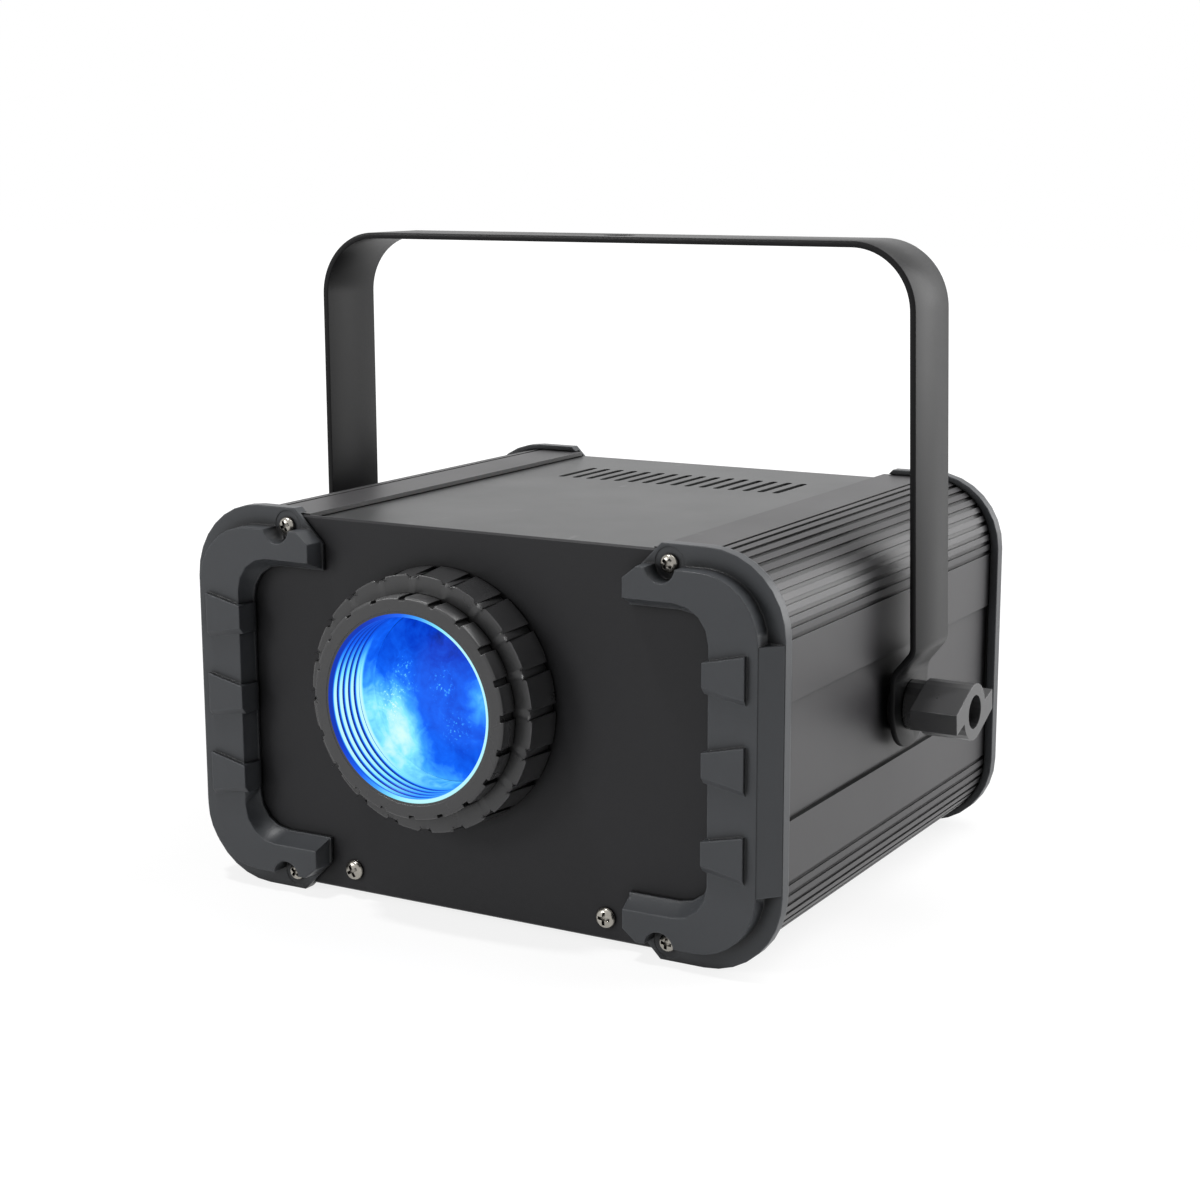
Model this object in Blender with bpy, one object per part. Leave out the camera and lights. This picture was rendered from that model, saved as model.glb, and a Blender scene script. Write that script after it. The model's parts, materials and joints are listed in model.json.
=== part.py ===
# Water wave effect light: a projector in a ribbed aluminium housing with moulded bumpers, hung in a yoke.
# Metres, +Z up. The lens faces -Y. X = 0 is the middle of the housing, Z = 0 the surface it stands on,
# and Y = 0 lies midway between the front of the lens and the back of the rear bumpers.

import bpy
import bmesh
from math import acos, atan2, ceil, cos, hypot, pi, radians, sin, tan
from mathutils import Matrix, Vector

mm = 0.001
fit = 0.3 * mm
bite = 1 * mm
skin = 0.2 * mm

# Housing
bodyWidth = 252.6 * mm
bodyHeight = 150.4 * mm
bodyDepth = 213.6 * mm
bodyCorner = 28 * mm
wall = 2.2 * mm
panelThickness = 1.6 * mm
panelInset = 0.4 * mm
panelBevel = 0.7 * mm

# Side extrusions
grooveCount = 12
grooveWidth = 1.7 * mm
grooveDepth = 1 * mm
grooveLeadTop = 0.3 * mm
grooveLeadSide = 1.9 * mm
channelHeight = 43.8 * mm
channelDepth = 1.2 * mm
channelSlotWidth = 1.3 * mm
channelSlotDepth = 1.1 * mm
railWidth = 50 * mm
lipThickness = 1.7 * mm
lipReach = 4.3 * mm
bossWidth = 10.4 * mm
bossDepth = 8.6 * mm
shelfReach = 2.6 * mm

# Covers
coverThickness = 1.2 * mm
ventCount = 16
ventPitch = 6.92 * mm
ventWidth = 3.2 * mm
ventLength = 31 * mm
ventFromRear = 47.6 * mm
ventShift = 1.3 * mm
lowerVentCount = 8
lowerVentPitch = 9 * mm
lowerVentFromFront = 112 * mm
flangeHeight = 15 * mm
flangeInset = 6.3 * mm

# Bumpers
bumperSide = 3.4 * mm
bumperTop = 2 * mm
bumperCorner = 31 * mm
bumperWrap = 5.1 * mm
rimThickness = 1.4 * mm
rimReach = 45.2 * mm
armFootReach = 58.3 * mm
ribProud = 8 * mm
ribInsetSide = 6.9 * mm
ribInsetTop = 7.8 * mm
ribWidth = 19.1 * mm
armHeight = 11.8 * mm
armReach = 56.8 * mm
armChamfer = 5.6 * mm
armChamferDrop = 4.5 * mm
armSlope = 3.6 * mm
ribDraft = 1 * mm
ribInnerCorner = 14 * mm
footStep = 0.3 * mm
fillerInset = 29.9 * mm
fillerOverlap = 4 * mm
fillerNose = 0.3 * mm
fillerDrop = 0.4 * mm
fillerSink = 1.4 * mm
padCount = 3
padPitch = 32.5 * mm
padDrop = 37 * mm
padHeight = 11.4 * mm
padSlant = 3.8 * mm
padProud = 1.9 * mm
padInward = 1.7 * mm
padOutset = 4.2 * mm
padLength = 18.2 * mm
padRamp = 2.6 * mm
pocketRadius = 6.1 * mm
pocketSink = 0.2 * mm

# Screws
bumperScrewInset = 41.8 * mm
bumperScrewDrop = 4.8 * mm
bumperScrewHead = 3.5 * mm
bumperScrewShank = 1.6 * mm
bumperScrewLength = 14 * mm
panelScrewInset = 68.9 * mm
panelScrewUp = 8.7 * mm
panelScrewHead = 4 * mm
panelScrewShank = 2 * mm
panelScrewLength = 8 * mm
screwHeadHeight = 2.3 * mm
headCrown = 0.25 * mm
headShoulder = 1 * mm
recessWidth = 0.9 * mm
recessDepth = 1.2 * mm

# Yoke and clamp knobs
pivotBehindPanel = 112.7 * mm
yokeStandOff = 11.3 * mm
yokeRise = 180 * mm
yokeCorner = 26.7 * mm
strapWidth = 34 * mm
strapThickness = 2.5 * mm
joggleDepth = 6.5 * mm
joggleStart = 13.6 * mm
joggleRun = 10.2 * mm
rightArmFootOut = 1.6 * mm
rightArmTopIn = 1.8 * mm
hangHoleRadius = 6.5 * mm
studRadius = 4 * mm
studLength = 15 * mm
washerRadius = 11 * mm
insertRadius = 6.5 * mm
insertFlange = 9 * mm
insertFlangeThickness = 2 * mm
knobHubRadius = 10 * mm
knobHubLength = 7 * mm
knobRingRadius = 11.2 * mm
knobHoleRadius = 6.7 * mm
knobHoleDepth = 13 * mm
knobWingLength = 19 * mm
knobWingReach = 19.6 * mm
knobWingLow = 2.7 * mm
knobWingHigh = 5.2 * mm
knobWingSlope = 0.7 * mm
knobNotchAngle = radians(13)

# Lens
opticX = -13.4 * mm
opticUp = 10.4 * mm
tubeRadius = 40 * mm
tubeWall = 2 * mm
tubeFlangeWidth = 12 * mm
tubeFlangeThickness = 2 * mm
focusWall = 10 * mm
focusLength = 16 * mm
focusGap = 0.8 * mm
focusTaper = 1.6 * mm
focusChamfer = 1.2 * mm
cellOverhang = 2.4 * mm
cellRimLength = 8.3 * mm
cellChamfer = 0.9 * mm
cellBack = 12 * mm
cellWall = 1.9 * mm
knurlCount = 20
knurlDepth = 1.4 * mm
knurlShare = 0.8
knurlTurn = radians(4)
knurlSlant = radians(0.5)
ridgeCount = 4
ridgeDepth = 1.2 * mm
ridgePitch = 3.8 * mm
ridgeStart = 4.5 * mm
lensInset = 1.8 * mm
lensEdge = 3 * mm
lensBulge = 5 * mm
lensSeat = 22 * mm
lensLedge = 2.4 * mm

# Optical train behind the lens
bulkheadInset = 1.3 * mm
bulkheadThickness = 1.5 * mm
bulkheadFoot = 10 * mm
frontBulkheadBehindPanel = 50 * mm
bulkheadSpacing = 38 * mm
beamFront = 22 * mm
beamRear = 18 * mm
rippleGlassRadius = 25 * mm
rippleGlassThickness = 3 * mm
retainerWall = 3 * mm
retainerThickness = 1.5 * mm
wheelOffset = 40 * mm
wheelRoom = 6.6 * mm
rippleWheelThickness = 3 * mm
colourWheelThickness = 1.5 * mm
wheelStandOff = 7 * mm
segmentCount = 8
segmentGap = 1 * mm
segmentStart = 12.8 * mm
wheelHub = 8 * mm
shaftRadius = 2.5 * mm
motorRadius = 14 * mm
motorLength = 20 * mm
motorBoss = 6 * mm
condenserRadius = 20 * mm
condenserBulge = 4 * mm
condenserEdge = 2 * mm
holderWall = 3 * mm
holderLength = 18 * mm
holderLedge = 3 * mm
ledSide = 40 * mm
ledThickness = 1.6 * mm
ledRadius = 11 * mm
ledDome = 3 * mm
ledBehindBulkhead = 34 * mm
sinkWidth = 80 * mm
sinkHeight = 90 * mm
sinkBase = 5 * mm
sinkDepth = 35 * mm
sinkFins = 11
finThickness = 1.8 * mm
sinkBracketWidth = 60 * mm
sinkBracketOverlap = 14 * mm

# Electrics
supplyWidth = 58 * mm
supplyHeight = 36 * mm
supplyInset = 12.9 * mm
supplyGap = 0.2 * mm
supplyFromRear = 28 * mm
supplyLid = 2 * mm
fanSide = 70 * mm
fanDepth = 15 * mm
fanX = -50 * mm
fanUp = 2.5 * mm
fanBore = 33 * mm
fanHub = 13 * mm
fanCorner = 5 * mm
fanStrut = 4 * mm
fanRecess = 1.5 * mm
fanTip = 31.5 * mm
bladeCount = 7
bladeChord = 12 * mm
bladeThickness = 1.4 * mm
bladeTwist = radians(38)
fanBackThickness = 2.5 * mm
fanSlotCount = 9
fanSlotPitch = 7 * mm
fanSlotWidth = 3.2 * mm
boardWidth = 88 * mm
boardHeight = 40 * mm
boardThickness = 1.6 * mm
boardBehindPanel = 9 * mm
boardInset = 68.3 * mm
boardUp = 34.5 * mm
studSpread = 80 * mm
boardStudRadius = 2.5 * mm
displayWidth = 42 * mm
displayHeight = 20 * mm
displayInset = 88.3 * mm
buttonCount = 4
buttonPitch = 9.5 * mm
buttonInset = 57.3 * mm
buttonRadius = 3.2 * mm
buttonCollar = 1 * mm
buttonProud = 1.5 * mm
buttonTravel = 0.8 * mm
switchHeight = 3 * mm
switchSide = 6 * mm
inletInset = 44.3 * mm
inletDown = 23.5 * mm
inletWidth = 28 * mm
inletHeight = 44 * mm
inletLip = 3 * mm
inletLipThickness = 2.5 * mm
inletLipCorner = 3 * mm
inletDepth = 25 * mm
inletMouthWidth = 24.5 * mm
inletMouthHeight = 17 * mm
inletMouthDepth = 16 * mm
inletMouthUp = 10.5 * mm
bladePinWidth = 2 * mm
bladePinHeight = 4 * mm
bladePinLength = 10 * mm
bladePinSpread = 7 * mm
earthPinUp = 2 * mm
sidePinDown = 1 * mm
fuseWidth = 22 * mm
fuseHeight = 9 * mm
fuseLength = 17 * mm
fuseDown = 12 * mm
fuseGrip = 1.6 * mm
fuseGripWidth = 10 * mm
socketUp = -23.5 * mm
socketInInset = 106.3 * mm
socketOutInset = 76.3 * mm
socketFlangeWidth = 26 * mm
socketFlangeHeight = 31 * mm
socketFlangeThickness = 1.6 * mm
socketFlangeCorner = 3 * mm
socketRadius = 11 * mm
socketBore = 8.4 * mm
socketDepth = 22 * mm
socketBoreDepth = 13 * mm
contactRadius = 1.2 * mm
contactSpread = 3.6 * mm
contactSetback = 3 * mm
latchWidth = 7 * mm
latchHeight = 3 * mm
latchLength = 8 * mm
latchProud = 2 * mm
latchUp = 12.8 * mm
eyeWidth = 18 * mm
eyeHeight = 12 * mm
eyeReach = 11 * mm
eyeThickness = 2.5 * mm
eyeBase = 1.5 * mm
eyeHole = 3.5 * mm
eyeUp = 58 * mm

# Faces along Y that the rest is placed from
cellReach = focusGap + focusLength + fit + cellRimLength
rearReach = rimThickness + fit + ribProud + padProud
panelY = cellReach - (cellReach + bodyDepth + rearReach) / 2
rearY = panelY + bodyDepth
insideY = panelY + panelThickness + fit
insideRearY = rearY - panelThickness - fit

# Levels and places that the housing gives
halfBody = bodyWidth / 2
baseZ = fit + bumperTop
topZ = baseZ + bodyHeight
middleZ = (baseZ + topZ) / 2
halfLip = halfBody - railWidth
slotX = halfLip + lipReach
slotHeight = coverThickness + 2 * fit
coverX = slotX - fit
coverTopZ = topZ - lipThickness - fit
coverUnderZ = coverTopZ - coverThickness
floorZ = baseZ + lipThickness + fit + coverThickness + fit
opticZ = middleZ + opticUp
pivotY = panelY + pivotBehindPanel
channelX = halfBody - channelDepth
innerX = channelX - wall
bossX = halfLip + lipReach - shelfReach
bumperScrewX = halfBody - bumperScrewInset
panelScrewX = halfBody - panelScrewInset
yokeHalf = halfBody + yokeStandOff
tabX = yokeHalf - joggleDepth

# The rings, the lens and the wheels, sized from the tube and the room around them
focusRadius = tubeRadius + focusWall
cellRadius = tubeRadius + cellOverhang
cellBarrel = tubeRadius - tubeWall - fit
boreRadius = cellBarrel - cellWall
lensRadius = boreRadius - lensInset
tubeFlange = tubeRadius + tubeFlangeWidth
wheelRadius = coverUnderZ - opticZ - wheelRoom

# What stands on the rear panel, counted in from its right-hand side
boardX = halfBody - boardInset
displayX = halfBody - displayInset
buttonX = halfBody - buttonInset
inletX = halfBody - inletInset
socketInX = halfBody - socketInInset
socketOutX = halfBody - socketOutInset

finishes = {
    "ribbed aluminium": ((0.14, 0.14, 0.142), 0.42, 0.6),
    "painted sheet": ((0.16, 0.165, 0.165), 0.45, 0.2),
    "painted panel": ((0.045, 0.045, 0.048), 0.5, 0.2),
    "moulded plastic": ((0.06, 0.061, 0.064), 0.55, 0.0),
    "black plastic": ((0.02, 0.02, 0.021), 0.5, 0.0),
    "painted steel": ((0.08, 0.08, 0.08), 0.45, 0.3),
    "bright steel": ((0.55, 0.53, 0.5), 0.3, 1.0),
    "bare aluminium": ((0.6, 0.6, 0.61), 0.4, 1.0),
    "brass": ((0.7, 0.5, 0.2), 0.35, 1.0),
    "clear glass": ((0.6, 0.8, 1.0), 0.05, 0.0),
    "blue glass": ((0.05, 0.25, 1.0), 0.05, 0.0),
    "circuit board": ((0.02, 0.14, 0.05), 0.5, 0.0),
    "red display": ((0.3, 0.02, 0.02), 0.2, 0.0),
    "rubber": ((0.015, 0.015, 0.015), 0.8, 0.0),
}


def clearScene():
    for old in list(bpy.data.objects):
        bpy.data.objects.remove(old)


def finishFor(name, finish):
    colour, roughness, metallic = finishes[finish]
    material = bpy.data.materials.new(name)
    material.use_nodes = True
    shader = material.node_tree.nodes["Principled BSDF"]
    shader.inputs["Base Color"].default_value = (*colour, 1)
    shader.inputs["Roughness"].default_value = roughness
    shader.inputs["Metallic"].default_value = metallic
    return material


def addObject(name, bm, origin=(0, 0, 0)):
    bmesh.ops.recalc_face_normals(bm, faces=bm.faces)
    bmesh.ops.translate(bm, verts=bm.verts, vec=-Vector(origin))
    mesh = bpy.data.meshes.new(name)
    bm.to_mesh(mesh)
    bm.free()
    mesh.shade_smooth()
    mesh.set_sharp_from_angle(angle=radians(32))
    thing = bpy.data.objects.new(name, mesh)
    thing.location = origin
    bpy.context.collection.objects.link(thing)
    return thing


def addPiece(name, bm, finish, origin=(0, 0, 0)):
    piece = addObject(name, bm, origin)
    piece.data.materials.append(finishFor(name, finish))
    return piece


# Cuts a shape away from a piece or joins it on, then marks the edges of the result
def useTool(piece, bm, operation):
    tool = addObject("tool", bm)
    modifier = piece.modifiers.new(operation.title(), "BOOLEAN")
    modifier.operation = operation
    modifier.solver = "EXACT"
    modifier.object = tool
    graph = bpy.context.evaluated_depsgraph_get()
    before = piece.data
    piece.data = bpy.data.meshes.new_from_object(piece.evaluated_get(graph))
    piece.modifiers.clear()
    bpy.data.objects.remove(tool)
    bpy.data.meshes.remove(before)
    piece.data.name = piece.name
    piece.data.set_sharp_from_angle(angle=radians(32))


def cut(piece, bm):
    useTool(piece, bm, "DIFFERENCE")


def join(piece, bm):
    useTool(piece, bm, "UNION")


# Puts a point of an outline on its plane: (x, z) along y, (y, z) along x, (x, y) along z
def spot(along, a, b, height):
    if along == "x":
        return (height, a, b)
    if along == "y":
        return (a, height, b)
    return (a, b, height)


def prism(outline, low, high, along="y", bm=None):
    bm = bm or bmesh.new()
    face = bm.faces.new([bm.verts.new(spot(along, a, b, low)) for a, b in outline])
    grown = bmesh.ops.extrude_face_region(bm, geom=[face])["geom"]
    moved = [item for item in grown if isinstance(item, bmesh.types.BMVert)]
    bmesh.ops.translate(bm, verts=moved, vec=spot(along, 0, 0, high - low))
    return bm


# A solid between two outlines of as many points, square to Y
def loft(outlineA, yA, outlineB, yB):
    bm = bmesh.new()
    loops = []
    for outline, y in ((outlineA, yA), (outlineB, yB)):
        face = bm.faces.new([bm.verts.new((x, y, z)) for x, z in outline])
        loops.extend(face.edges)
    bmesh.ops.bridge_loops(bm, edges=loops)
    return bm


def block(low, high, bm=None):
    bm = bm or bmesh.new()
    size = [b - a for a, b in zip(low, high)]
    middle = [(a + b) / 2 for a, b in zip(low, high)]
    placed = Matrix.Translation(middle) @ Matrix.Diagonal((*size, 1))
    bmesh.ops.create_cube(bm, size=1, matrix=placed)
    return bm


# A block about a centre, from its width and height between two faces along Y
def slab(centre, width, height, nearY, farY, bm=None):
    low = (centre[0] - width / 2, nearY, centre[1] - height / 2)
    high = (centre[0] + width / 2, farY, centre[1] + height / 2)
    return block(low, high, bm)


# Turns (radius, height) points about an axis; the profile is closed unless both its ends lie on the axis
def turned(profile, steps, centre, along="y", bm=None):
    bm = bm or bmesh.new()
    verts = [bm.verts.new(spot(along, centre[0] + radius, centre[1], height)) for radius, height in profile]
    pairs = list(zip(verts, verts[1:]))
    if profile[0][0] > 0:
        pairs.append((verts[-1], verts[0]))
    edges = [bm.edges.new(pair) for pair in pairs]
    bmesh.ops.spin(
        bm,
        geom=verts + edges,
        cent=spot(along, centre[0], centre[1], 0),
        axis=spot(along, 0, 0, 1),
        angle=2 * pi,
        steps=steps,
        use_merge=True,
    )
    bmesh.ops.remove_doubles(bm, verts=bm.verts, dist=1e-6)
    return bm


def rod(radius, low, high, steps, centre, along="y", bm=None):
    return turned([(0, low), (radius, low), (radius, high), (0, high)], steps, centre, along, bm)


def arc(centre, radius, start, end, steps):
    angles = [start + (end - start) * step / steps for step in range(steps + 1)]
    return [(centre[0] + radius * cos(angle), centre[1] + radius * sin(angle)) for angle in angles]


def roundedBox(left, right, low, high, radius, steps):
    points = []
    for x, z, start in (
        (right - radius, high - radius, 0),
        (left + radius, high - radius, pi / 2),
        (left + radius, low + radius, pi),
        (right - radius, low + radius, 3 * pi / 2),
    ):
        points += arc((x, z), radius, start, start + pi / 2, steps)
    return points


def mirrored(points):
    return [(a, 2 * middleZ - b) for a, b in reversed(points)]


def sided(points, side):
    return [(side * a, b) for a, b in points]


# The grooves that run round the top corner of an extrusion, as outline points
def groovedCorner():
    turn = bodyCorner * pi / 2
    pitch = (turn + grooveLeadTop + grooveLeadSide) / (grooveCount - 1)
    cornerX = halfBody - bodyCorner
    cornerZ = topZ - bodyCorner

    def surface(along, depth):
        if along < 0:
            return (cornerX + along, topZ - depth)
        if along > turn:
            return (halfBody - depth, cornerZ - (along - turn))
        angle = pi / 2 - along / bodyCorner
        reach = bodyCorner - depth
        return (cornerX + reach * cos(angle), cornerZ + reach * sin(angle))

    points = []
    for groove in range(grooveCount):
        middle = groove * pitch - grooveLeadTop
        for offset, depth in ((-1, 0), (-1, 1), (1, 1), (1, 0)):
            points.append(surface(middle + offset * grooveWidth / 2, depth * grooveDepth))
    return points


def extrusionOutline():
    channelTop = middleZ + channelHeight / 2
    channelLow = middleZ - channelHeight / 2
    thickWall = halfBody - wall
    innerCorner = arc((halfBody - bodyCorner, topZ - bodyCorner), bodyCorner - wall, pi / 2, 0, 6)
    upperInside = [
        (halfLip, topZ - lipThickness),
        (slotX, topZ - lipThickness),
        (slotX, topZ - lipThickness - slotHeight),
        (bossX, topZ - lipThickness - slotHeight),
        (bossX, topZ - bossDepth),
        (bossX + bossWidth, topZ - bossDepth),
        (bossX + bossWidth, topZ - wall),
    ]
    upperInside += innerCorner
    upperInside += [(thickWall, channelTop + wall), (innerX, channelTop + wall)]
    outside = [(halfLip, topZ)] + groovedCorner() + [(halfBody, channelTop), (channelX, channelTop)]
    slot = [
        (channelX, channelLow + channelSlotWidth),
        (channelX - channelSlotDepth, channelLow + channelSlotWidth),
        (channelX - channelSlotDepth, channelLow),
        (halfBody, channelLow),
    ]
    lowerOutside = mirrored([(halfLip, topZ)] + groovedCorner())
    lowerInside = list(reversed(mirrored(upperInside)))
    return outside + slot + lowerOutside + lowerInside + list(reversed(upperInside))


def bumperScrewSpots():
    return [
        (side * bumperScrewX, middleZ + level * (bodyHeight / 2 - bumperScrewDrop))
        for side in (-1, 1)
        for level in (-1, 1)
    ]


def panelScrewSpots():
    return [(side * panelScrewX, baseZ + panelInset + panelScrewUp) for side in (-1, 1)]


def sideExtrusion(name, side):
    bm = prism(sided(extrusionOutline(), side), insideY, insideRearY)
    piece = addPiece(name, bm, "ribbed aluminium")
    ports = bmesh.new()
    for x, z in bumperScrewSpots():
        if x * side > 0:
            rod(bumperScrewShank + fit, insideY - bite, insideRearY + bite, 10, (x, z), bm=ports)
    cut(piece, ports)
    low = side * (innerX - 5 * bite)
    high = side * (halfBody + 5 * bite)
    cut(piece, rod(insertRadius + fit, low, high, 20, (pivotY, middleZ), "x"))


def ventSlots(count, pitch, shift, startY, lowZ, highZ):
    bm = bmesh.new()
    for slot in range(count):
        x = shift + (slot - (count - 1) / 2) * pitch
        half = ventWidth / 2
        outline = arc((x, startY + half), half, -pi, 0, 4)
        outline += arc((x, startY + ventLength - half), half, 0, pi, 4)
        prism(outline, lowZ, highZ, "z", bm)
    return bm


def topCover():
    bm = block((-coverX, insideY, coverUnderZ), (coverX, rearY - fit, coverTopZ))
    piece = addPiece("top_cover", bm, "painted sheet")
    startY = rearY - ventFromRear - panelThickness - ventLength / 2
    cut(piece, ventSlots(ventCount, ventPitch, ventShift, startY, coverUnderZ - bite, coverTopZ + bite))


def bottomCover():
    low = 2 * middleZ - coverTopZ
    high = low + coverThickness
    plate = block((-coverX, insideY, low), (coverX, rearY - fit, high))
    piece = addPiece("bottom_cover", plate, "painted sheet")
    flangeFront = insideY + fit / 2
    flangeBack = flangeFront + coverThickness
    half = halfLip - flangeInset
    join(piece, block((-half, flangeFront, low + fit), (half, flangeBack, low + flangeHeight)))
    holes = bmesh.new()
    for place in panelScrewSpots():
        rod(panelScrewShank + fit, insideY - bite, flangeBack + bite, 10, place, bm=holes)
    cut(piece, holes)
    startY = panelY + lowerVentFromFront
    cut(piece, ventSlots(lowerVentCount, lowerVentPitch, opticX, startY, low - bite, high + bite))


def panelOutline():
    half = halfBody - panelInset
    corner = bodyCorner - panelInset
    return roundedBox(-half, half, baseZ + panelInset, topZ - panelInset, corner, 7)


def panelPlate(frontY, backY, bevelledY):
    bm = prism(panelOutline(), frontY, backY)
    rim = [edge for edge in bm.edges if all(abs(vert.co.y - bevelledY) < 1e-6 for vert in edge.verts)]
    bmesh.ops.bevel(bm, geom=rim, offset=panelBevel, segments=1, profile=0.5, affect="EDGES")
    return bm


def frontPanel():
    backY = panelY + panelThickness
    piece = addPiece("front_panel", panelPlate(panelY, backY, panelY), "painted panel")
    cut(piece, rod(tubeRadius + fit, panelY - bite, backY + bite, 48, (opticX, opticZ)))
    holes = bmesh.new()
    for x, z in bumperScrewSpots():
        rod(bumperScrewShank + fit, panelY - bite, backY + bite, 10, (x, z), bm=holes)
    for place in panelScrewSpots():
        rod(panelScrewShank + fit, panelY - bite, backY + bite, 10, place, bm=holes)
    cut(piece, holes)


def buttonSpots():
    return [(buttonX + number * buttonPitch, middleZ + boardUp) for number in range(buttonCount)]


def rearPanel():
    frontY = rearY - panelThickness
    piece = addPiece("rear_panel", panelPlate(frontY, rearY, rearY), "painted panel")
    notches = bmesh.new()
    for level in (-1, 1):
        ends = (middleZ + level * (coverUnderZ - fit - middleZ), middleZ + level * bodyHeight)
        block((-slotX, frontY - bite, min(ends)), (slotX, rearY + bite, max(ends)), notches)
    cut(piece, notches)
    holes = bmesh.new()
    for x, z in bumperScrewSpots():
        rod(bumperScrewShank + fit, frontY - bite, rearY + bite, 10, (x, z), bm=holes)
    for x, z in buttonSpots():
        rod(buttonRadius + fit, frontY - bite, rearY + bite, 16, (x, z), bm=holes)
    for x in (socketInX, socketOutX):
        rod(socketRadius + fit, frontY - bite, rearY + bite, 20, (x, middleZ + socketUp), bm=holes)
    for slot in range(fanSlotCount):
        x = fanX + (slot - (fanSlotCount - 1) / 2) * fanSlotPitch
        reach = (max((fanBore - bite) ** 2 - (x - fanX) ** 2, 0)) ** 0.5
        low = (x - fanSlotWidth / 2, frontY - bite, middleZ + fanUp - reach)
        high = (x + fanSlotWidth / 2, rearY + bite, middleZ + fanUp + reach)
        block(low, high, holes)
    cut(piece, holes)
    windows = bmesh.new()
    for place, width, height in (
        ((displayX, middleZ + boardUp), displayWidth, displayHeight),
        ((inletX, middleZ - inletDown), inletWidth, inletHeight),
        ((socketOutX, middleZ + socketUp + latchUp), latchWidth, latchHeight),
    ):
        slab(place, width + 2 * fit, height + 2 * fit, frontY - bite, rearY + bite, windows)
    cut(piece, windows)
    studs = bmesh.new()
    rise = boardHeight / 2 - 2 * boardStudRadius
    for side in (-1, 1):
        for level in (-1, 1):
            place = (boardX + side * studSpread / 2, middleZ + boardUp + level * rise)
            seat = rearY - boardBehindPanel + fit
            rod(boardStudRadius, seat, rearY - panelThickness / 2, 8, place, bm=studs)
    join(piece, studs)


# Outline of a bumper's foot on the panel, for the right-hand side
def bumperFoot():
    outerX = halfBody + fit + bumperSide
    highZ = topZ + fit + bumperTop
    innerX = ribOuterX() - ribWidth - ribDraft - footStep
    armZ = highZ - ribInsetTop - armHeight - armSlope - footStep
    rimEnd = halfBody - rimReach
    footEnd = halfBody - armFootReach
    upper = [(footEnd, armZ), (footEnd, highZ - (rimEnd - footEnd)), (rimEnd, highZ)]
    upper += arc((outerX - bumperCorner, highZ - bumperCorner), bumperCorner, pi / 2, 0, 8)
    inner = arc((innerX - ribInnerCorner, armZ - ribInnerCorner), ribInnerCorner, 0, pi / 2, 4)
    return upper + mirrored(upper) + mirrored(inner) + inner


def ribOuterX():
    return halfBody + fit + bumperSide - ribInsetSide


# Outline of the raised rib; slope and draft widen it towards its foot
def ribOutline(slope, draft):
    outerX = ribOuterX()
    highZ = topZ + fit + bumperTop - ribInsetTop
    innerX = outerX - ribWidth - draft
    armZ = highZ - armHeight - slope
    end = halfBody - armReach - draft
    corner = bumperCorner - ribInsetSide
    upper = [(end, armZ), (end, highZ - armChamferDrop), (end + armChamfer, highZ)]
    upper += arc((outerX - corner, highZ - corner), corner, pi / 2, 0, 8)
    inner = arc((innerX - ribInnerCorner, armZ - ribInnerCorner), ribInnerCorner, 0, pi / 2, 4)
    return upper + mirrored(upper) + mirrored(inner) + inner


def bumper(name, side, facing):
    plane = panelY if facing < 0 else rearY
    outside = plane + facing * fit
    rimFace = outside + facing * rimThickness
    ribFace = rimFace + facing * ribProud
    wrapEnd = rimFace - facing * bumperWrap
    insideRib = outside + facing * rimThickness / 2
    foot = sided(bumperFoot(), side)
    piece = addPiece(name, prism(foot, rimFace, wrapEnd), "moulded plastic")

    envelope = roundedBox(-halfBody - fit, halfBody + fit, baseZ - fit, topZ + fit, bodyCorner + fit, 8)
    cut(piece, prism(envelope, outside, plane - facing * bodyDepth / 2))
    ribFoot = sided(ribOutline(armSlope, ribDraft), side)
    join(piece, loft(ribFoot, insideRib, sided(ribOutline(0, 0), side), ribFace))

    outerX = halfBody + fit + bumperSide
    ribX = ribOuterX()
    section = [
        (ribX - fillerOverlap, insideRib),
        (outerX - bite, insideRib),
        (outerX - skin, rimFace + facing * skin),
        (ribX + fillerNose, ribFace - facing * fillerDrop),
        (ribX - fillerOverlap, ribFace - facing * fillerSink),
    ]
    join(piece, prism(sided(section, side), baseZ + fillerInset, topZ - fillerInset, "z"))

    # Each pad stands proud of the rib and ends at the bottom in a short ramp
    padOuter = ribX - padOutset
    padInner = ribX - ribWidth - padInward
    proud = ribFace + facing * padProud
    sunk = ribFace - facing * skin
    pads = bmesh.new()
    for number in range(padCount):
        top = topZ - padDrop - number * padPitch
        outerEnd = top + padSlant - padLength
        innerEnd = top - padHeight
        corners = [
            (padInner, proud, top),
            (padOuter, proud, top + padSlant),
            (padOuter, proud, outerEnd + padRamp),
            (padOuter, sunk, outerEnd),
            (padInner, sunk, innerEnd),
            (padInner, proud, innerEnd + padRamp),
        ]
        front = [pads.verts.new((side * x, y, z)) for x, y, z in corners]
        back = [pads.verts.new((side * x, insideRib, z)) for x, y, z in corners]
        pads.faces.new((front[0], front[1], front[2], front[5]))
        pads.faces.new((front[2], front[3], front[4], front[5]))
        pads.faces.new(back)
        for here in range(len(corners)):
            after = (here + 1) % len(corners)
            pads.faces.new((front[here], front[after], back[after], back[here]))
    join(piece, pads)

    pockets = bmesh.new()
    holes = bmesh.new()
    floor = rimFace - facing * pocketSink
    for x, z in bumperScrewSpots():
        if x * side > 0:
            rod(pocketRadius, floor, ribFace + facing * 2 * bite, 20, (x, z), bm=pockets)
            rod(bumperScrewShank + fit, plane - facing * bite, ribFace, 10, (x, z), bm=holes)
    cut(piece, pockets)
    cut(piece, holes)


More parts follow.
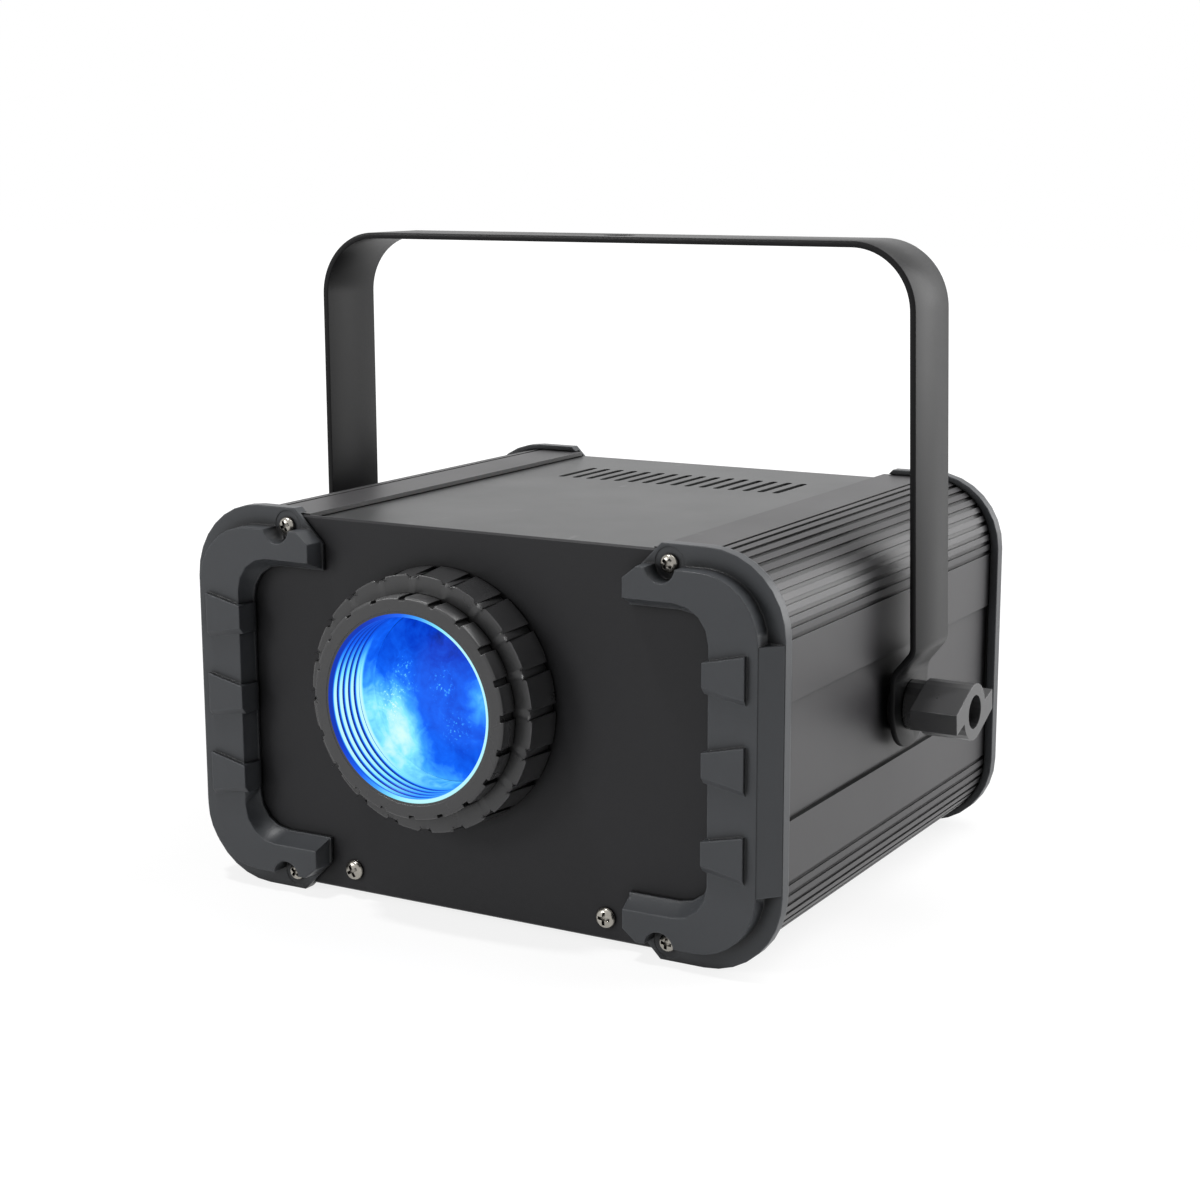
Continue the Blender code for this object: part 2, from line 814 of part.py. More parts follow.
# A pan-head screw whose head stands on seatY and faces the way given
def screw(name, place, seatY, facing, head, shank, length):
    x, z = place
    under = seatY + facing * fit
    top = under + facing * screwHeadHeight
    profile = [
        (0, top),
        (0.62 * head, top - facing * headCrown),
        (0.93 * head, top - facing * headShoulder),
        (head, under),
        (shank, under),
        (shank, seatY - facing * length),
        (0, seatY - facing * length),
    ]
    piece = addPiece(name, turned(profile, 14, place), "bright steel", (x, seatY, z))
    slot = bmesh.new()
    arm = 0.52 * head
    half = recessWidth / 2
    deep = top - facing * recessDepth
    outline = []
    for quarter in range(4):
        turn = quarter * pi / 2 + pi / 4
        for a, b in ((half, half), (arm, half), (arm, -half)):
            outline.append((x + a * cos(turn) - b * sin(turn), z + a * sin(turn) + b * cos(turn)))
    outline = [outline[3 * quarter + number] for quarter in range(4) for number in (2, 1, 0)]
    prism(outline, deep, top + facing * bite, bm=slot)
    cut(piece, slot)


def bumperScrews():
    for facing, place in ((-1, "front"), (1, "rear")):
        plane = panelY if facing < 0 else rearY
        seat = plane + facing * (fit + rimThickness - pocketSink)
        for x, z in bumperScrewSpots():
            across = "left" if x < 0 else "right"
            level = "upper" if z > middleZ else "lower"
            name = f"bumper_screw_{place}_{across}_{level}"
            screw(name, (x, z), seat, facing, bumperScrewHead, bumperScrewShank, bumperScrewLength)


def panelScrews():
    for across, place in zip(("left", "right"), panelScrewSpots()):
        screw(f"panel_screw_{across}", place, panelY, -1, panelScrewHead, panelScrewShank, panelScrewLength)


# Half of the yoke's strap as outline points, from its lower end to the top bar. Inset is its thickness or 0.
# An arm that is sprung out at its foot leans: footOut and topIn are its offsets there.
def strapLine(inset, footOut, topIn):
    outer = yokeHalf - inset
    lower = outer - joggleDepth
    top = middleZ + yokeRise - inset
    corner = yokeCorner - inset
    rise = middleZ + joggleStart
    shift = inset * tan(atan2(joggleDepth + footOut, joggleRun) / 2)
    points = [
        (lower, middleZ - strapWidth),
        (lower, rise + shift),
        (outer + footOut, rise + joggleRun + shift),
    ]
    return points + arc((outer - corner - topIn, top - corner), corner, 0, pi / 2, 8)


def yoke():
    right = [strapLine(inset, rightArmFootOut, rightArmTopIn) for inset in (0, strapThickness)]
    left = [strapLine(inset, 0, 0) for inset in (0, strapThickness)]
    outline = right[0] + [(-x, z) for x, z in reversed(left[0])]
    outline += [(-x, z) for x, z in left[1]] + list(reversed(right[1]))
    half = strapWidth / 2
    bm = prism(outline, pivotY - half, pivotY + half)
    piece = addPiece("yoke", bm, "painted steel", (0, pivotY, middleZ))
    reach = yokeHalf + bite
    below = [(pivotY - 2 * half, middleZ), (pivotY - half, middleZ)]
    below += arc((pivotY, middleZ), half, pi, 2 * pi, 14)[1:-1]
    below += [(pivotY + half, middleZ), (pivotY + 2 * half, middleZ)]
    below += [(pivotY + 2 * half, middleZ - 3 * half), (pivotY - 2 * half, middleZ - 3 * half)]
    cut(piece, prism(below, -reach, reach, "x"))
    cut(piece, rod(studRadius + fit, -reach, reach, 16, (pivotY, middleZ), "x"))
    top = middleZ + yokeRise
    cut(piece, rod(hangHoleRadius, top - strapThickness - bite, top + bite, 20, (0, pivotY), "z"))


# Outline of a knob's two wings about its ring, point-symmetric
def wingOutline(side):
    tip = (knobWingReach, -knobWingLow)
    swing = acos(knobRingRadius / hypot(*tip))
    tangent = atan2(tip[1], tip[0]) - swing
    half = [(knobWingReach - knobWingSlope, knobWingHigh), tip]
    half += arc((0, 0), knobRingRadius, tangent, knobNotchAngle - pi, 7)
    points = half + [(-a, -b) for a, b in half]
    return [(pivotY + side * a, middleZ + b) for a, b in points]


def clampKnob(name, side):
    seat = side * (tabX + fit)
    hubEnd = seat + side * knobHubLength
    face = hubEnd + side * knobWingLength
    studEnd = side * (tabX - studLength)
    centre = (pivotY, middleZ)
    shaft = [(0, studEnd), (studRadius, studEnd), (studRadius, seat), (knobHubRadius, seat)]
    shaft += [(knobHubRadius, hubEnd + side * bite), (0, hubEnd + side * bite)]
    piece = addPiece(name, turned(shaft, 20, centre, "x"), "black plastic", (seat, pivotY, middleZ))
    join(piece, prism(wingOutline(side), hubEnd, face, "x"))
    cut(piece, rod(knobHoleRadius, face - side * knobHoleDepth, face + side * bite, 20, centre, "x"))


def pivotWasher(name, side):
    near = side * (channelX + fit)
    far = side * (tabX - strapThickness - fit)
    bore = studRadius + fit
    profile = [(bore, near), (washerRadius, near), (washerRadius, far), (bore, far)]
    addPiece(name, turned(profile, 20, (pivotY, middleZ), "x"), "rubber")


def pivotInsert(name, side):
    bore = studRadius + fit
    outer = side * (channelX - fit)
    step = side * (innerX - fit)
    inner = step - side * insertFlangeThickness
    profile = [(bore, outer), (insertRadius, outer), (insertRadius, step), (insertFlange, step)]
    profile += [(insertFlange, inner), (bore, inner)]
    addPiece(name, turned(profile, 20, (pivotY, middleZ), "x"), "brass")


optic = (opticX, opticZ)
focusFront = panelY - focusGap - focusLength
cellFront = panelY - cellReach
cellRimBack = cellFront + cellRimLength


# A ring whose rim carries pads with shallow gaps between them; taper is how much smaller it is in front
def knurledRing(radius, taper, inner, front, back, chamfer):
    outline = []
    pitch = 2 * pi / knurlCount
    for pad in range(knurlCount):
        start = knurlTurn + pad * pitch
        end = start + pitch * knurlShare
        for angle in (start, (start + end) / 2, end):
            outline.append((angle, 1))
        outline.append((end + knurlSlant, 0))
        outline.append((start + pitch - knurlSlant, 0))
    bm = bmesh.new()
    loops = []
    rim = radius - taper
    levels = [
        (inner, inner, front),
        (rim - chamfer, rim - max(chamfer, knurlDepth), front),
        (rim, rim - knurlDepth, front + chamfer),
        (radius, radius - knurlDepth, back),
        (inner, inner, back),
    ]
    for padRadius, gapRadius, y in levels:
        loop = []
        for angle, raised in outline:
            reach = padRadius if raised else gapRadius
            loop.append(bm.verts.new((opticX + reach * cos(angle), y, opticZ + reach * sin(angle))))
        loops.append(loop)
    for loop, after in zip(loops, loops[1:] + loops[:1]):
        for here in range(len(outline)):
            there = (here + 1) % len(outline)
            bm.faces.new((loop[here], loop[there], after[there], after[here]))
    return bm


def lensTube():
    front = focusFront + fit
    seat = panelY + panelThickness + fit
    back = seat + tubeFlangeThickness
    inner = tubeRadius - tubeWall
    profile = [(inner, front), (tubeRadius, front), (tubeRadius, seat), (tubeFlange, seat)]
    profile += [(tubeFlange, back), (inner, back)]
    addPiece("lens_tube", turned(profile, 40, optic), "black plastic")


def focusRing():
    back = focusFront + focusLength
    bm = knurledRing(focusRadius, focusTaper, tubeRadius + fit, focusFront, back, focusChamfer)
    addPiece("focus_ring", bm, "black plastic", (opticX, focusFront, opticZ))


def lensCell():
    bm = knurledRing(cellRadius, 0, boreRadius + bite, cellFront, cellRimBack, cellChamfer)
    piece = addPiece("lens_cell", bm, "black plastic", (opticX, cellFront, opticZ))
    seat = cellFront + lensSeat
    front = cellFront + fit / 2
    profile = [(cellBarrel, front), (cellBarrel, panelY + cellBack)]
    profile += [(lensRadius + fit - lensLedge, panelY + cellBack)]
    ledge = seat + lensEdge + 2 * lensBulge
    profile += [(lensRadius + fit - lensLedge, ledge), (lensRadius + fit, ledge), (lensRadius + fit, seat)]
    for ridge in reversed(range(ridgeCount)):
        y = cellFront + ridgeStart + ridge * ridgePitch
        profile += [(boreRadius, y + ridgePitch / 2), (boreRadius - ridgeDepth, y)]
    profile += [(boreRadius, cellFront + ridgeStart - ridgePitch / 2), (boreRadius, front)]
    join(piece, turned(profile, 40, optic))


# A lens with a straight edge and a bulge on both faces
def lensProfile(radius, edge, bulge, middleY, steps):
    sphere = (radius * radius + bulge * bulge) / (2 * bulge)
    points = []
    for step in range(steps + 1):
        reach = radius * step / steps
        points.append((reach, bulge - sphere + (sphere * sphere - reach * reach) ** 0.5))
    front = [(reach, middleY - edge / 2 - sag) for reach, sag in points]
    back = [(reach, middleY + edge / 2 + sag) for reach, sag in reversed(points)]
    return front + back


def objectiveLens():
    middle = cellFront + lensSeat + lensBulge + lensEdge / 2 + fit
    profile = lensProfile(lensRadius, lensEdge, lensBulge, middle, 4)
    addPiece("objective_lens", turned(profile, 32, optic), "blue glass", (opticX, middle, opticZ))


frontPlateY = panelY + frontBulkheadBehindPanel
rearPlateY = frontPlateY + bulkheadSpacing
rippleWheelAxis = (opticX - wheelOffset, opticZ)
colourWheelAxis = (opticX + wheelOffset, opticZ)


# A folded plate across the housing with a beam hole, a motor hole and a foot on the bottom cover
def bulkhead(name, plateY, beam, motorAxis):
    low = floorZ
    high = coverUnderZ - fit
    footY = plateY + bulkheadThickness + bulkheadFoot
    section = [
        (plateY, low),
        (footY, low),
        (footY, low + bulkheadThickness),
        (plateY + bulkheadThickness, low + bulkheadThickness),
        (plateY + bulkheadThickness, high),
        (plateY, high),
    ]
    half = halfLip - bulkheadInset
    piece = addPiece(name, prism(section, -half, half, "x"), "bare aluminium")
    holes = rod(beam, plateY - bite, plateY + bulkheadThickness + bite, 32, optic)
    rod(motorBoss + fit, plateY - bite, plateY + bulkheadThickness + bite, 16, motorAxis, bm=holes)
    cut(piece, holes)


# A motor can whose boss passes through its plate; facing is the way its shaft points
def motor(name, axis, plateY, facing):
    near = plateY - facing * fit if facing > 0 else plateY + bulkheadThickness + fit
    back = near - facing * motorLength
    bossEnd = near + facing * (bulkheadThickness + 2 * fit)
    bore = shaftRadius + fit
    shaftSeat = near - facing * motorLength / 2
    profile = [(0, back), (motorRadius, back), (motorRadius, near), (motorBoss, near), (motorBoss, bossEnd)]
    profile += [(bore, bossEnd), (bore, shaftSeat), (0, shaftSeat)]
    addPiece(name, turned(profile, 20, axis), "bare aluminium", (axis[0], near, axis[1]))


# A disc on a hub with a shaft that reaches into its motor; facing is the way the motor's shaft points
def wheelProfile(plateY, facing, thickness):
    near = plateY - facing * fit if facing > 0 else plateY + bulkheadThickness + fit
    bossEnd = near + facing * (bulkheadThickness + 2 * fit)
    hubNear = bossEnd + facing * fit
    discNear = near + facing * wheelStandOff
    discFar = discNear + facing * thickness
    shaftEnd = near - facing * (motorLength / 2 - fit)
    return [
        (0, shaftEnd),
        (shaftRadius, shaftEnd),
        (shaftRadius, hubNear),
        (wheelHub, hubNear),
        (wheelHub, discNear),
        (wheelRadius, discNear),
        (wheelRadius, discFar),
        (0, discFar),
    ]


def rippleWheel():
    bm = turned(wheelProfile(frontPlateY, 1, rippleWheelThickness), 36, rippleWheelAxis)
    origin = (rippleWheelAxis[0], frontPlateY, rippleWheelAxis[1])
    addPiece("ripple_wheel", bm, "clear glass", origin)


def colourWheel():
    bm = turned(wheelProfile(rearPlateY, -1, colourWheelThickness), 36, colourWheelAxis)
    origin = (colourWheelAxis[0], rearPlateY, colourWheelAxis[1])
    piece = addPiece("colour_wheel", bm, "blue glass", origin)
    slots = bmesh.new()
    discY = rearPlateY + bulkheadThickness + fit - wheelStandOff
    for segment in range(segmentCount):
        low = (segmentStart, -2 * bite - colourWheelThickness, -segmentGap / 2)
        gap = block(low, (wheelRadius + bite, bite, segmentGap / 2))
        turn = Matrix.Rotation((segment + 0.5) * 2 * pi / segmentCount, 4, "Y")
        place = Matrix.Translation((colourWheelAxis[0], discY, colourWheelAxis[1]))
        gap.transform(place @ turn)
        scratch = bpy.data.meshes.new("gap")
        gap.to_mesh(scratch)
        gap.free()
        slots.from_mesh(scratch)
    cut(piece, slots)


def rippleGlass():
    back = frontPlateY - fit
    front = back - rippleGlassThickness
    addPiece("ripple_glass", rod(rippleGlassRadius, front, back, 32, optic), "clear glass")
    seat = front - fit
    inner = rippleGlassRadius - retainerWall
    face = seat - retainerThickness
    profile = [(inner, face), (rippleGlassRadius, face), (rippleGlassRadius, seat), (inner, seat)]
    addPiece("glass_retainer", turned(profile, 32, optic), "black plastic")


def condenser():
    seat = rearPlateY + bulkheadThickness + fit
    bore = condenserRadius + fit
    outer = condenserRadius + holderWall
    ledgeY = seat + holderLedge
    back = seat + holderLength
    profile = [(beamRear, seat), (outer, seat), (outer, back), (bore, back)]
    profile += [(bore, ledgeY), (beamRear, ledgeY)]
    addPiece("condenser_holder", turned(profile, 28, optic), "bare aluminium")
    middle = ledgeY + condenserBulge + condenserEdge / 2 + fit
    lens = lensProfile(condenserRadius, condenserEdge, condenserBulge, middle, 3)
    addPiece("condenser_lens", turned(lens, 24, optic), "clear glass")


sinkY = rearPlateY + ledBehindBulkhead + ledThickness + fit


def ledModule():
    back = sinkY - fit
    front = back - ledThickness
    half = ledSide / 2
    low = (opticX - half, front, opticZ - half)
    piece = addPiece("led_module", block(low, (opticX + half, back, opticZ + half)), "circuit board")
    angles = [step * pi / 8 for step in range(4)]
    dome = [(ledRadius * sin(angle), front - ledDome * cos(angle)) for angle in angles]
    dome += [(ledRadius, front + ledThickness / 2), (0, front + ledThickness / 2)]
    join(piece, turned(dome, 20, optic))


def heatSink():
    left = opticX - sinkWidth / 2
    pitch = (sinkWidth - finThickness) / (sinkFins - 1)
    outline = [(left, sinkY), (left + sinkWidth, sinkY)]
    for fin in reversed(range(sinkFins)):
        x = left + fin * pitch
        outline += [(x + finThickness, sinkY + sinkDepth), (x, sinkY + sinkDepth)]
        if fin > 0:
            outline += [(x, sinkY + sinkBase), (x - pitch + finThickness, sinkY + sinkBase)]
    low = opticZ - sinkHeight / 2
    addPiece("heat_sink", prism(outline, low, low + sinkHeight, "z"), "bare aluminium")
    plateY = sinkY - fit - bulkheadThickness
    top = low + sinkBracketOverlap
    section = [
        (plateY - bulkheadFoot, floorZ),
        (plateY + bulkheadThickness, floorZ),
        (plateY + bulkheadThickness, top),
        (plateY, top),
        (plateY, floorZ + bulkheadThickness),
        (plateY - bulkheadFoot, floorZ + bulkheadThickness),
    ]
    half = sinkBracketWidth / 2
    addPiece("heat_sink_bracket", prism(section, opticX - half, opticX + half, "x"), "bare aluminium")


def powerSupply():
    low = baseZ + bossDepth + fit
    backY = insideRearY - supplyFromRear
    frontY = rearPlateY + bulkheadThickness + bulkheadFoot + supplyGap
    corner = (innerX - supplyInset - supplyWidth, frontY, low)
    far = (innerX - supplyInset, backY, low + supplyHeight)
    piece = addPiece("power_supply", block(corner, far), "bare aluminium")
    lid = (corner[0] + supplyLid, corner[1] + supplyLid, far[2] - bite)
    join(piece, block(lid, (far[0] - supplyLid, far[1] - supplyLid, far[2] + supplyLid)))


def fan():
    centre = (fanX, middleZ + fanUp)
    back = insideRearY
    front = back - fanDepth
    half = fanSide / 2
    outline = roundedBox(fanX - half, fanX + half, centre[1] - half, centre[1] + half, fanCorner, 3)
    piece = addPiece("fan_frame", prism(outline, front, back), "black plastic")
    cut(piece, rod(fanBore, front - bite, back + bite, 32, centre))
    plate = front + fanBackThickness
    spider = rod(fanHub, front, plate, 20, centre)
    join(piece, spider)
    for arm in range(3):
        low = (fanHub - bite, front + fit, -fanStrut / 2)
        strut = block(low, (fanBore + bite, plate - fit, fanStrut / 2))
        turn = Matrix.Rotation(arm * 2 * pi / 3 + pi / 2, 4, "Y")
        strut.transform(Matrix.Translation((fanX, 0, centre[1])) @ turn)
        join(piece, strut)
    cut(piece, rod(shaftRadius + fit, front - bite, plate + bite, 12, centre))

    hubNear = plate + fit
    hubFar = back - fanRecess
    profile = [(0, front), (shaftRadius, front), (shaftRadius, hubNear)]
    profile += [(fanHub, hubNear), (fanHub, hubFar), (0, hubFar)]
    origin = (fanX, front, centre[1])
    rotor = addPiece("fan_rotor", turned(profile, 20, centre), "black plastic", origin)
    middle = (hubNear + hubFar) / 2
    for blade in range(bladeCount):
        low = (fanHub - 2 * bite, -bladeChord / 2, -bladeThickness / 2)
        vane = block(low, (fanTip, bladeChord / 2, bladeThickness / 2))
        vane.transform(Matrix.Rotation(bladeTwist, 4, "X"))
        turn = Matrix.Rotation(blade * 2 * pi / bladeCount, 4, "Y")
        vane.transform(Matrix.Translation((fanX, middle, centre[1])) @ turn)
        join(rotor, vane)


def controlBoard():
    front = rearY - boardBehindPanel - boardThickness
    back = rearY - boardBehindPanel
    z = middleZ + boardUp
    low = (boardX - boardWidth / 2, front, z - boardHeight / 2)
    high = (boardX + boardWidth / 2, back, z + boardHeight / 2)
    piece = addPiece("control_board", block(low, high), "circuit board")
    switches = bmesh.new()
    half = switchSide / 2
    for x, buttonZ in buttonSpots():
        corner = (x - half, back - fit, buttonZ - half)
        block(corner, (x + half, back + switchHeight, buttonZ + half), switches)
    join(piece, switches)


def display():
    z = middleZ + boardUp
    low = (displayX - displayWidth / 2, rearY - boardBehindPanel + fit, z - displayHeight / 2)
    high = (displayX + displayWidth / 2, rearY, z + displayHeight / 2)
    addPiece("display_module", block(low, high), "red display")


def menuButtons():
    inner = rearY - boardBehindPanel + switchHeight + buttonTravel + fit
    collarY = rearY - panelThickness - fit
    for number, place in enumerate(buttonSpots()):
        radius = buttonRadius + buttonCollar
        profile = [(0, rearY + buttonProud), (buttonRadius, rearY + buttonProud), (buttonRadius, collarY)]
        profile += [(radius, collarY), (radius, inner), (0, inner)]
        origin = (place[0], rearY, place[1])
        addPiece(f"menu_button_{number + 1}", turned(profile, 14, place), "rubber", origin)


def frameOutline(centre, width, height, corner):
    half = (width / 2, height / 2)
    x, z = centre
    return roundedBox(x - half[0], x + half[0], z - half[1], z + half[1], corner, 2)


def mainsInlet():
    centre = (inletX, middleZ - inletDown)
    face = rearY + fit + inletLipThickness
    body = slab(centre, inletWidth, inletHeight, rearY - inletDepth, face - bite)
    piece = addPiece("mains_inlet", body, "black plastic")
    lip = frameOutline(centre, inletWidth + 2 * inletLip, inletHeight + 2 * inletLip, inletLipCorner)
    join(piece, prism(lip, rearY + fit, face))
    mouth = (inletX, centre[1] + inletMouthUp)
    mouthBack = face - inletMouthDepth
    cut(piece, slab(mouth, inletMouthWidth, inletMouthHeight, mouthBack, face + bite))
    drawer = (inletX, centre[1] - fuseDown)
    slotBack = face - fuseLength - fit
    cut(piece, slab(drawer, fuseWidth + 2 * fit, fuseHeight + 2 * fit, slotBack, face + bite))
    pins = bmesh.new()
    for across in (-1, 0, 1):
        rise = earthPinUp if across == 0 else -sidePinDown
        place = (inletX + across * bladePinSpread, mouth[1] + rise)
        slab(place, bladePinWidth, bladePinHeight, mouthBack - bite, mouthBack + bladePinLength, pins)
    join(piece, pins)


def fuseDrawer():
    centre = (inletX, middleZ - inletDown - fuseDown)
    face = rearY + fit + inletLipThickness
    body = slab(centre, fuseWidth, fuseHeight, face - fuseLength, face)
    piece = addPiece("fuse_drawer", body, "black plastic", (inletX, face, centre[1]))
    join(piece, slab(centre, fuseGripWidth, 2 * fuseGrip, face - bite, face + fuseGrip))


# A three-pole signal socket; plugs tells whether it has pins or holes
def signalSocket(name, x, plugs):
    centre = (x, middleZ + socketUp)
    seat = rearY + fit
    face = seat + socketFlangeThickness
    outline = frameOutline(centre, socketFlangeWidth, socketFlangeHeight, socketFlangeCorner)
    piece = addPiece(name, prism(outline, seat, face), "bright steel")
    join(piece, rod(socketRadius, rearY - socketDepth, face - fit, 20, centre))
    contacts = [
        (x + contactSpread * cos(angle), centre[1] + contactSpread * sin(angle))
        for angle in (radians(30), radians(150), radians(270))
    ]
    floor = face - socketBoreDepth
    if plugs:
        cut(piece, rod(socketBore, floor, face + bite, 20, centre))
        pins = bmesh.new()
        for place in contacts:
            rod(contactRadius, floor - bite, face - contactSetback, 8, place, bm=pins)
        join(piece, pins)
    else:
        holes = bmesh.new()
        for place in contacts:
            rod(contactRadius + fit, floor, face + bite, 8, place, bm=holes)
        latch = (x, centre[1] + latchUp)
        slab(latch, latchWidth + 2 * fit, latchHeight + 2 * fit, seat - bite, face + bite, holes)
        cut(piece, holes)


def socketLatch():
    z = middleZ + socketUp + latchUp
    face = rearY + fit + socketFlangeThickness + latchProud
    low = (socketOutX - latchWidth / 2, face - latchLength, z - latchHeight / 2)
    high = (socketOutX + latchWidth / 2, face, z + latchHeight / 2)
    addPiece("socket_latch", block(low, high), "bright steel", (socketOutX, rearY, z))


def safetyEye():
    z = middleZ + eyeUp
    seat = rearY + fit
    wide = eyeWidth / 2
    half = eyeHeight / 2
    base = block((-wide, seat, z - half), (wide, seat + eyeBase, z + half))
    piece = addPiece("safety_eye", base, "bright steel")
    bend = seat + eyeReach - half
    tab = [(seat + eyeBase / 2, z + fit - half), (bend, z + fit - half)]
    tab += arc((bend, z), half - fit, -pi / 2, pi / 2, 8)[1:]
    tab += [(seat + eyeBase / 2, z + half - fit)]
    join(piece, prism(tab, -eyeThickness / 2, eyeThickness / 2, "x"))
    cut(piece, rod(eyeHole, -eyeThickness, eyeThickness, 12, (bend + fit, z), "x"))


def build():
    clearScene()
    sideExtrusion("side_extrusion_left", -1)
    sideExtrusion("side_extrusion_right", 1)
    topCover()
    bottomCover()
    frontPanel()
    rearPanel()
    for side, across in ((-1, "left"), (1, "right")):
        bumper(f"front_bumper_{across}", side, -1)
        bumper(f"rear_bumper_{across}", side, 1)
        clampKnob(f"clamp_knob_{across}", side)
        pivotWasher(f"pivot_washer_{across}", side)
        pivotInsert(f"pivot_insert_{across}", side)
    bumperScrews()
    panelScrews()
    yoke()
    lensTube()
    focusRing()
    lensCell()
    objectiveLens()
    bulkhead("front_bulkhead", frontPlateY, beamFront, rippleWheelAxis)
    bulkhead("rear_bulkhead", rearPlateY, beamRear, colourWheelAxis)
    rippleGlass()
    motor("ripple_motor", rippleWheelAxis, frontPlateY, 1)
    rippleWheel()
    motor("colour_motor", colourWheelAxis, rearPlateY, -1)
    colourWheel()
    condenser()
    ledModule()
    heatSink()
    powerSupply()
    fan()
    controlBoard()
    display()
    menuButtons()
    mainsInlet()
    fuseDrawer()
    signalSocket("signal_in_socket", socketInX, True)
    signalSocket("signal_out_socket", socketOutX, False)
    socketLatch()
    safetyEye()


build()
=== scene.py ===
import bpy
import bmesh
import json
from math import atan2, cos, pi, radians, sin
from mathutils import Matrix, Vector


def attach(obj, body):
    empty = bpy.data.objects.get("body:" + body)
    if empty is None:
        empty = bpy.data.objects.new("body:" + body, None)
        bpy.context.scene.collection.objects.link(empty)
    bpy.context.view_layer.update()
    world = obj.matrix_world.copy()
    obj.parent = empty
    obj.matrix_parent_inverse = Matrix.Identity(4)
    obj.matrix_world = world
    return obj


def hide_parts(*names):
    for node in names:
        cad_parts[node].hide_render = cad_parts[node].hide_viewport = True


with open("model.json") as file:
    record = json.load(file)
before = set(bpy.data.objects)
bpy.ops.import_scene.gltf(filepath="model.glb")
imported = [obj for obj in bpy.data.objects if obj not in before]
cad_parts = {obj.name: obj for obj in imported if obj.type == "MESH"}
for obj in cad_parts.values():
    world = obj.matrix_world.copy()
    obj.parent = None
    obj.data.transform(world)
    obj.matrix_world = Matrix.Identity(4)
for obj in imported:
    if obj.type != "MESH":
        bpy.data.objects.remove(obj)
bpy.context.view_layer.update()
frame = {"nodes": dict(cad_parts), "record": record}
nodes = frame["nodes"]
mm = 0.001
near = 0.0001      # two measures closer than this count as one
centreX, centreZ = -0.0134, 0.0879      # the optical axis
print("frame loaded,", len(nodes), "nodes")


# ---- camera, where the photograph was taken from
cameraSettings = {
    "target": (0.055015, -0.0999, 0.13146),
    "distance": 0.8029,
    "turn": 29.926,
    "rise": 11.285,
    "roll": -0.176,
    "lens": 66.59,
    "sensor": 36,
}


def addCamera(settings):
    turn, rise, roll = (radians(settings[key]) for key in ("turn", "rise", "roll"))
    back = Vector((sin(turn) * cos(rise), -cos(turn) * cos(rise), sin(rise)))
    right = Vector((cos(turn), sin(turn), 0))
    up = back.cross(right)
    across = right * cos(roll) + up * sin(roll)
    upright = up * cos(roll) - right * sin(roll)
    place = Matrix.Translation(Vector(settings["target"]) + back * settings["distance"])
    camera = bpy.data.objects.new("camera", bpy.data.cameras.new("camera"))
    camera.data.lens = settings["lens"]
    camera.data.sensor_width = settings["sensor"]
    camera.matrix_world = place @ Matrix((across, upright, back)).transposed().to_4x4()
    bpy.context.scene.collection.objects.link(camera)
    bpy.context.scene.camera = camera


addCamera(cameraSettings)
print("camera set")


# ---- shader maths: a socket that takes part in Python expressions
class Wire:
    def __init__(self, tree, socket=None):
        self.tree = tree
        self.socket = socket

    def node(self, kind, sockets=(), out=0, stops=(), **settings):
        made = self.tree.nodes.new("ShaderNode" + kind)
        for name, value in settings.items():
            setattr(made, name, value)
        if stops:
            ramp = made.color_ramp
            ramp.elements[0].position, ramp.elements[0].color = stops[0]
            ramp.elements[-1].position, ramp.elements[-1].color = stops[-1]
            for place, colour in stops[1:-1]:
                ramp.elements.new(place).color = colour
        for name, value in dict(sockets).items():
            if isinstance(value, Wire):
                self.tree.links.new(value.socket, made.inputs[name])
            else:
                made.inputs[name].default_value = value
        return Wire(self.tree, made.outputs[out])

    def maths(self, operation, *values):
        return self.node("Math", dict(enumerate(values)), operation=operation)

    def __add__(self, other):
        return self.maths("ADD", self, other)

    def __sub__(self, other):
        return self.maths("SUBTRACT", self, other)

    def __rsub__(self, other):
        return self.maths("SUBTRACT", other, self)

    def __mul__(self, other):
        return self.maths("MULTIPLY", self, other)

    def __truediv__(self, other):
        return self.maths("DIVIDE", self, other)

    # 0 below low, 1 above high, smooth between
    def rise(self, low, high):
        sockets = {0: self, 1: low, 2: high, 3: 0.0, 4: 1.0}
        return self.node("MapRange", sockets, interpolation_type="SMOOTHSTEP")

    def mixed(self, factor, first, second):
        return self.node("Mix", {0: factor, 6: first, 7: second}, out=2, data_type="RGBA")


# a colour as seen on a screen, 0 to 255, made linear by the sRGB curve
def shade(*rgb):
    return tuple((c / 255 / 12.92) if c < 10.3 else ((c / 255 + 0.055) / 1.055) ** 2.4 for c in rgb) + (1,)


# a linear colour made darker or lighter
def tinted(colour, share):
    return tuple(c * share for c in colour[:3]) + (1,)


def newFinish(name, settings):
    material = bpy.data.materials.new(name)
    material.use_nodes = True
    tree = material.node_tree
    shader = tree.nodes["Principled BSDF"]
    for socket, value in settings.items():
        shader.inputs[socket].default_value = value
    return material, Wire(tree), shader


def feed(shader, socket, wire):
    wire.tree.links.new(wire.socket, shader.inputs[socket])


def objectPlace(wire):
    return wire.node("TexCoord", out="Object")


# x, y or z of a place, in millimetres
def along(place, axis):
    return place.node("SeparateXYZ", {0: place}, out=axis) * 1000


def noise(wire, place, size, detail, stretch=(1, 1, 1)):
    scaled = wire.node("Mapping", {"Vector": place, "Scale": stretch})
    return wire.node("TexNoise", {"Vector": scaled, "Scale": 1 / size, "Detail": detail, "Roughness": 0.55})


# relief from a height, over edges rounded by the given radius; gives back the rounded normal
def relief(shader, height, depth, rounding):
    edge = height.node("Bevel", {"Radius": rounding}, samples=4)
    feed(shader, "Normal", height.node("Bump", {"Height": height, "Distance": depth, "Normal": edge}))
    return edge


